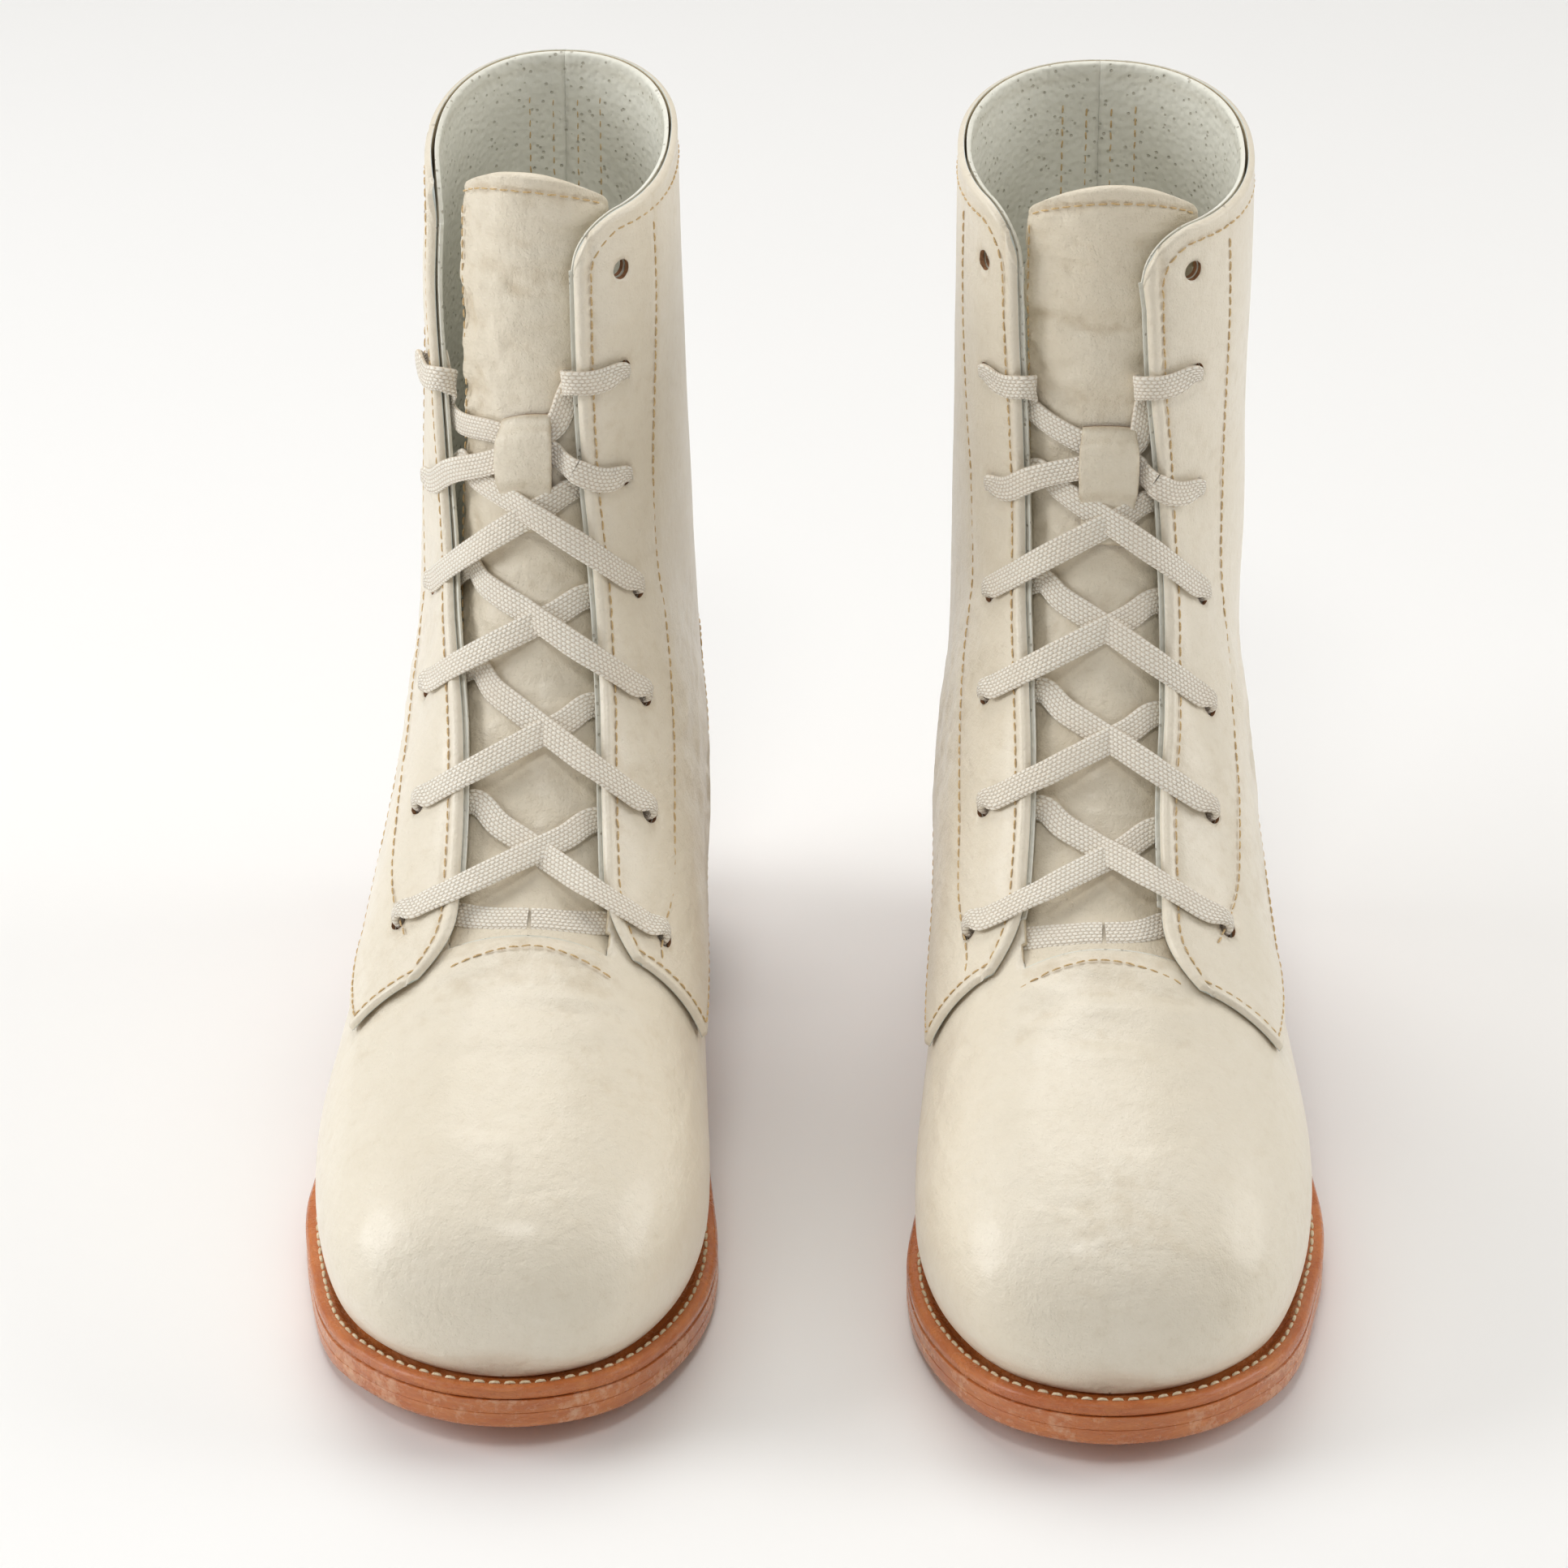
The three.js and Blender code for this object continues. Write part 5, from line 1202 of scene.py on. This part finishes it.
def tongue_pieces(boot):
    last = boot.last
    lean = boot.facts["keeper"] * 0.75
    rows = np.concatenate([np.linspace(6.62, 15.9, 150), np.linspace(15.95, TONGUE_END, 20)])
    u = np.concatenate([
        (-1, -0.985, -0.96, -0.92), np.linspace(-0.88, 0.88, 64), (0.92, 0.96, 0.985, 1)])
    t, u = np.meshgrid(rows, u, indexing="ij")
    corner = 6.0
    past = np.clip((t - TONGUE_END) * TONGUE_PITCH + corner, 0, corner)
    half = 27.0 - (corner - np.sqrt(corner**2 - past**2 * 0.97)) - 1.5 * smooth_step(8.5, 6.8, t)
    bulge = bell(t, 12.1, 1.35)
    middle = lean * smooth_step(7.5, 10.5, t) + boot.facts["sag"] * bulge
    half = half + 3 * bulge
    t = t - TONGUE_ARCH * u**2 * smooth_step(15.2, TONGUE_END, t)
    distance = middle + u * half
    share = last.share(t, distance)
    base = last.at(t, share)
    outer_offset = mix(-UPPER - GAP, TONGUE_TOP, smooth_step(THROAT, THROAT + 0.6, t))
    flat = base * np.array([0.22, 1, 1])
    folds = soft_noise(flat, 5, boot.seed + 7) * 0.8 + soft_noise(flat, 2.4, boot.seed + 8) * 0.45
    strength = 0.6 + 0.9 * bell(t, 14.3, 0.9)
    under_lace = bell(t, 12.4, 0.9) * bell(distance, lean, 10)
    relief = np.minimum(folds * strength * (1 - under_lace), 0.5) * smooth_step(6.9, 7.6, t)
    soft = soft_noise(base, 22, boot.seed + 9) * 0.5
    side_near = (1 - np.abs(u)) * half
    top_near = (TONGUE_END - TONGUE_ARCH * u**2 - t) * TONGUE_PITCH
    near = np.minimum(side_near, top_near)
    hem = 0.3 * bell(top_near, 4.2, 0.8) * (t > 15)
    full = edge_round(near, 1.0)
    offset = outer_offset + relief + np.minimum(soft, 0.2) * smooth_step(7, 8, t)
    outer = last.at(t, share, offset - TONGUE_THICK * 0.9 * (1 - full) - hem)
    inner = last.at(t, share, offset - TONGUE_THICK)
    # Darker colour, painted shade: in the dents of the folds and in the groove of the top hem.
    worn = np.clip(-relief, 0, 1) * 0.5 + 0.25 * bell(top_near, 4.2, 1.0) * (t > 15)
    boot.sheet(
        "tongue_skin", (outer, inner), [TONGUE_CREAM, LINING, PALE_EDGE], "tongue", worn,
        body=boot.tongue_body, slot="tongue_leather")

    profile = curve_through([
        (11.5, 0), (11.9, 0), (12.15, 0.25), (12.38, 0.9), (12.68, 1.1), (12.92, 0.9), (13.06, 0.3),
        (13.13, 0), (13.3, 0)], level=True)
    rows = np.linspace(KEEPER_LOW, KEEPER_HIGH, 60)
    u = np.concatenate([(-1, -0.97, -0.9, -0.8), np.linspace(-0.7, 0.7, 20), (0.8, 0.9, 0.97, 1)])
    t, u = np.meshgrid(rows, u, indexing="ij")
    distance = boot.facts["keeper"] + u * KEEPER_WIDTH / 2
    share = last.share(t, distance)
    raised = profile(t)[..., 0]
    sag = soft_noise(last.at(t, share) * np.array([1, 1, 0.5]), 8, boot.seed + 13) * 0.25
    low = TONGUE_TOP + 0.75 + raised * (2 * LACE_THICK + 0.7) + sag * raised
    near = np.minimum(t - KEEPER_LOW, KEEPER_HIGH - t) * 17
    near = np.minimum((1 - np.abs(u)) * KEEPER_WIDTH / 2, near)
    full = edge_round(near, 0.45)
    outer = last.at(t, share, low + 1.3 * (0.25 + 0.75 * full))
    inner = last.at(t, share, low)
    # Darker colour along its cut edges and on the slopes where it rises over the laces.
    worn = 0.5 * bell(near, 0, 0.7) + 0.2 * bell(raised, 0.5, 0.3)
    boot.sheet(
        "keeper_loop", (outer, inner), [TONGUE_CREAM, RAW_EDGE, RAW_EDGE], "tongue_keeper", worn,
        body=boot.tongue_body, slot="tongue_leather")

    sewn = []
    for t_at in (11.72, 11.86):
        d = boot.facts["keeper"] + np.linspace(-1, 1, 30) * (KEEPER_WIDTH / 2 - 1.2)
        t = np.full_like(d, t_at)
        points, normals = skin_line(boot, t, d, TONGUE_TOP + 2.0)
        sewn.append(stitch_row(points, normals, 2.4, 1.9, 0.5, boot.seed))
    top = np.linspace(-1, 1, 120)
    t = 16.33 - TONGUE_ARCH * (top * 0.92) ** 2
    points, normals = skin_line(boot, t, lean + top * 24.5, TONGUE_TOP + 0.1)
    sewn.append(stitch_row(points, normals, 3.0, 2.2, 0.42, boot.seed + 4))
    for side in (-1, 1):
        t = np.linspace(8.0, 15.9, 200)
        points, normals = skin_line(
            boot, t, lean * smooth_step(7.5, 10.5, t) + side * 24.6
            + (boot.facts["sag"] + 3 * side) * bell(t, 12.1, 1.35), TONGUE_TOP + 0.15)
        sewn.append(stitch_row(points, normals, 3.0, 2.2, 0.42, boot.seed + 6))
    points, faces, _ = join(sewn)
    boot.make("tongue_stitching", points, faces, [THREAD], body=boot.tongue_body, slot="tongue_leather")


def upper_stitching(boot, threads):
    last = boot.last
    d = np.linspace(-19, 23, 120)
    t = 6.69 - 0.0012 * np.abs(d - 2) ** 1.6
    points, normals = skin_line(boot, t, d, -0.1)
    threads.append(stitch_row(points, normals, 3.0, 2.3, 0.45, boot.seed + 21))
    for side in (1, -1):
        t = np.linspace(12.6, 15.8, 160)
        for inset in (3.2, 9.5):
            share = 1 - inset / last.reach_at(t, side)
            points, normals = last.at(t, side * share, LINING_IN + 0.05, normal_too=True)
            threads.append(stitch_row(points, -normals, 3.1, 2.2, 0.42, boot.seed + 23))
            if inset < 4:
                points, normals = last.at(t, side * share, QUARTER_OUT - 0.1, normal_too=True)
                threads.append(stitch_row(points, normals, 3.1, 2.2, 0.42, boot.seed + 24))
    points, faces, _ = join(threads)
    boot.make("upper_stitching", points, faces, [THREAD], slot="upper_leather")


# ---------------------------------------------------------------- bottom


def side_cut(points, offset, start, count):
    """One side of the outline from a breast line to the heel end, in evenly spaced points."""
    line = outline_side(points, offset)
    if start is not None:
        x = width_at(line, start)
        line = np.vstack([[x, start], line[line[:, 1] > start + 0.2]])
    runs = run_length(line)
    want = np.linspace(0, runs[-1], count)
    return np.column_stack([np.interp(want, runs, line[:, k]) for k in range(2)])


def plate(boot, name, offset, bottom, top, flank, material, node, slot, start=None, count=150):
    """A layer under the foot. flank is its edge profile: (how far in, part of the height).
    start is the breast line of a heel layer."""
    loops, strip = [], []
    for inset, part in flank:
        breast = None if start is None else start + inset * 0.6
        medial = side_cut(MEDIAL_OUTLINE, offset - inset, breast, count)
        lateral = side_cut(LATERAL_OUTLINE, offset - inset, breast, count)[::-1] * np.array([-1, 1])
        loop = np.concatenate([medial, lateral[1:-1] if start is None else lateral[1:]])
        z = mix(bottom(loop[:, 1]), top(loop[:, 1]), part)
        loops.append(np.column_stack([loop, z]))
    size = len(loops[0])
    points = np.concatenate(loops)
    rings = []
    for k in range(len(loops) - 1):
        j = np.arange(size)
        n = (j + 1) % size
        rings.append(np.stack([k * size + j, k * size + n, (k + 1) * size + n, (k + 1) * size + j], 1))
    faces = [np.concatenate(rings)]
    for base, flip in ((0, True), ((len(loops) - 1) * size, False)):
        medial = np.arange(count)
        lateral = (size - np.arange(count)) % size if start is None else size - 1 - np.arange(count)
        if start is None:
            lateral[-1] = count - 1
        quads = np.stack([medial[:-1], medial[1:], lateral[1:], lateral[:-1]], 1) + base
        quads = quads[:, ::-1] if flip else quads
        faces.append(quads)
    faces = [list(dict.fromkeys(face)) for face in np.concatenate(faces).tolist()]
    rough = soft_noise(points, 9, boot.seed + 31)[:, None] * 0.12
    points = points + unit(points * np.array([1, 0.2, 0]) + 1e-6) * rough
    boot.make(
        name, points, [face for face in faces if len(face) > 2], [material], (node,), slot=slot,
        worn=np.zeros(len(points)))


def bottom_pieces(boot):
    rounded = ((6, 1), (0.06, 1), (0, 0.98), (0, 0.9), (0, 0.5), (0, 0.1), (0, 0.02), (0.06, 0), (6, 0))
    lower = (
        (6, 1), (0.06, 1), (0, 0.98), (0, 0.9), (0.02, 0.5), (0.2, 0.24), (0.8, 0.06), (2.0, 0), (8, 0))
    midsole_bottom, midsole_top = OUTSOLE + 0.08, OUTSOLE + GAP + MIDSOLE
    welt_bottom, welt_top = midsole_top + 0.12, midsole_top + GAP + WELT
    plate(boot, "outsole_layer", WELT_WIDTH, sole_height, lambda y: sole_height(y) + OUTSOLE, lower,
          SOLE_TAN, "outsole", "sole_leather")
    plate(boot, "midsole_layer", WELT_WIDTH - 0.05, lambda y: sole_height(y) + midsole_bottom,
          lambda y: sole_height(y) + midsole_top, rounded, SOLE_TAN, "midsole", "sole_leather")
    bead = (
        (9, 1.0), (6.4, 0.86), (5.4, 0.72), (4.6, 0.84), (3.2, 0.98), (1.6, 1.02), (0.6, 0.93),
        (0.05, 0.7), (0, 0.4), (0.25, 0.14), (0.9, 0), (6, 0))
    plate(boot, "welt_strip", WELT_WIDTH, lambda y: sole_height(y) + welt_bottom,
          lambda y: sole_height(y) + welt_top, bead, WELT_TAN, "welt", "welt_leather")
    thick = (HEEL_HEIGHT - 6.5) / 3
    for level in range(4):
        top_piece = level == 3
        bottom_z = 0.0 if top_piece else HEEL_HEIGHT - (level + 1) * thick
        top_z = HEEL_HEIGHT - level * thick
        plate(
            boot, "heel_top_layer" if top_piece else f"heel_layer_{level + 1}",
            WELT_WIDTH - 1.2 - 0.9 * level,
            lambda y, z=bottom_z: np.full_like(y, z + 0.05),
            lambda y, z=top_z, k=level: (sole_height(y) if k == 0 else np.full_like(y, z)) - 0.15,
            ((5, 1), (0.5, 1), (0.08, 0.92), (0, 0.5), (0.1, 0.08), (0.55, 0), (5, 0)),
            RUBBER if top_piece else HEEL_TAN,
            "heel_top_piece" if top_piece else f"heel_lift_{level + 1}",
            "heel_rubber" if top_piece else "heel_leather", start=64 + 0.8 * level, count=70)
    rows = []
    for outline, sign in ((MEDIAL_OUTLINE, 1), (LATERAL_OUTLINE, -1)):
        line = outline_side(outline, WELT_WIDTH - 3.0)
        line = line[(line[:, 1] < 40)] * np.array([sign, 1])
        z = sole_height(line[:, 1]) + welt_top + 0.05
        points = np.column_stack([line, z])
        normals = np.tile([0, 0, 1.0], (len(points), 1))
        rows.append(stitch_row(points, normals, 3.6, 2.7, 0.8, boot.seed + 33, 0.1))
    points, faces, _ = join(rows)
    boot.make("welt_stitching", points, faces, [WELT_THREAD], slot="welt_leather")


# ---------------------------------------------------------------- the pair

KEPT = {
    "toe_puff": BOARD, "heel_counter": BOARD, "vamp_lining": LINING, "counter_lining": LINING,
    "insole": BOARD, "sock_lining": LINING, "cork_filler": CORK, "shank": STEEL,
    "lace_tip_medial": TIP, "lace_tip_lateral": TIP,
}
lace_lengths = []
for facts in BOOTS:
    boot = Boot(facts)
    lace_lengths.append(round(lace_pieces(boot) / 10, 1))
    vamp_pieces(boot)
    threads = quarter_pieces(boot)
    upper_stitching(boot, threads)
    tongue_pieces(boot)
    bottom_pieces(boot)
    for node, material in KEPT.items():
        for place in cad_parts[f"{boot.side}_{node}"].material_slots:
            place.material = material
print("lace length on the boot, cm:", lace_lengths)

bpy.ops.mesh.primitive_plane_add(size=12, location=(0, 0, 0))
floor = bpy.context.object
floor.name = "floor"
floor.data.materials.append(FLOOR)
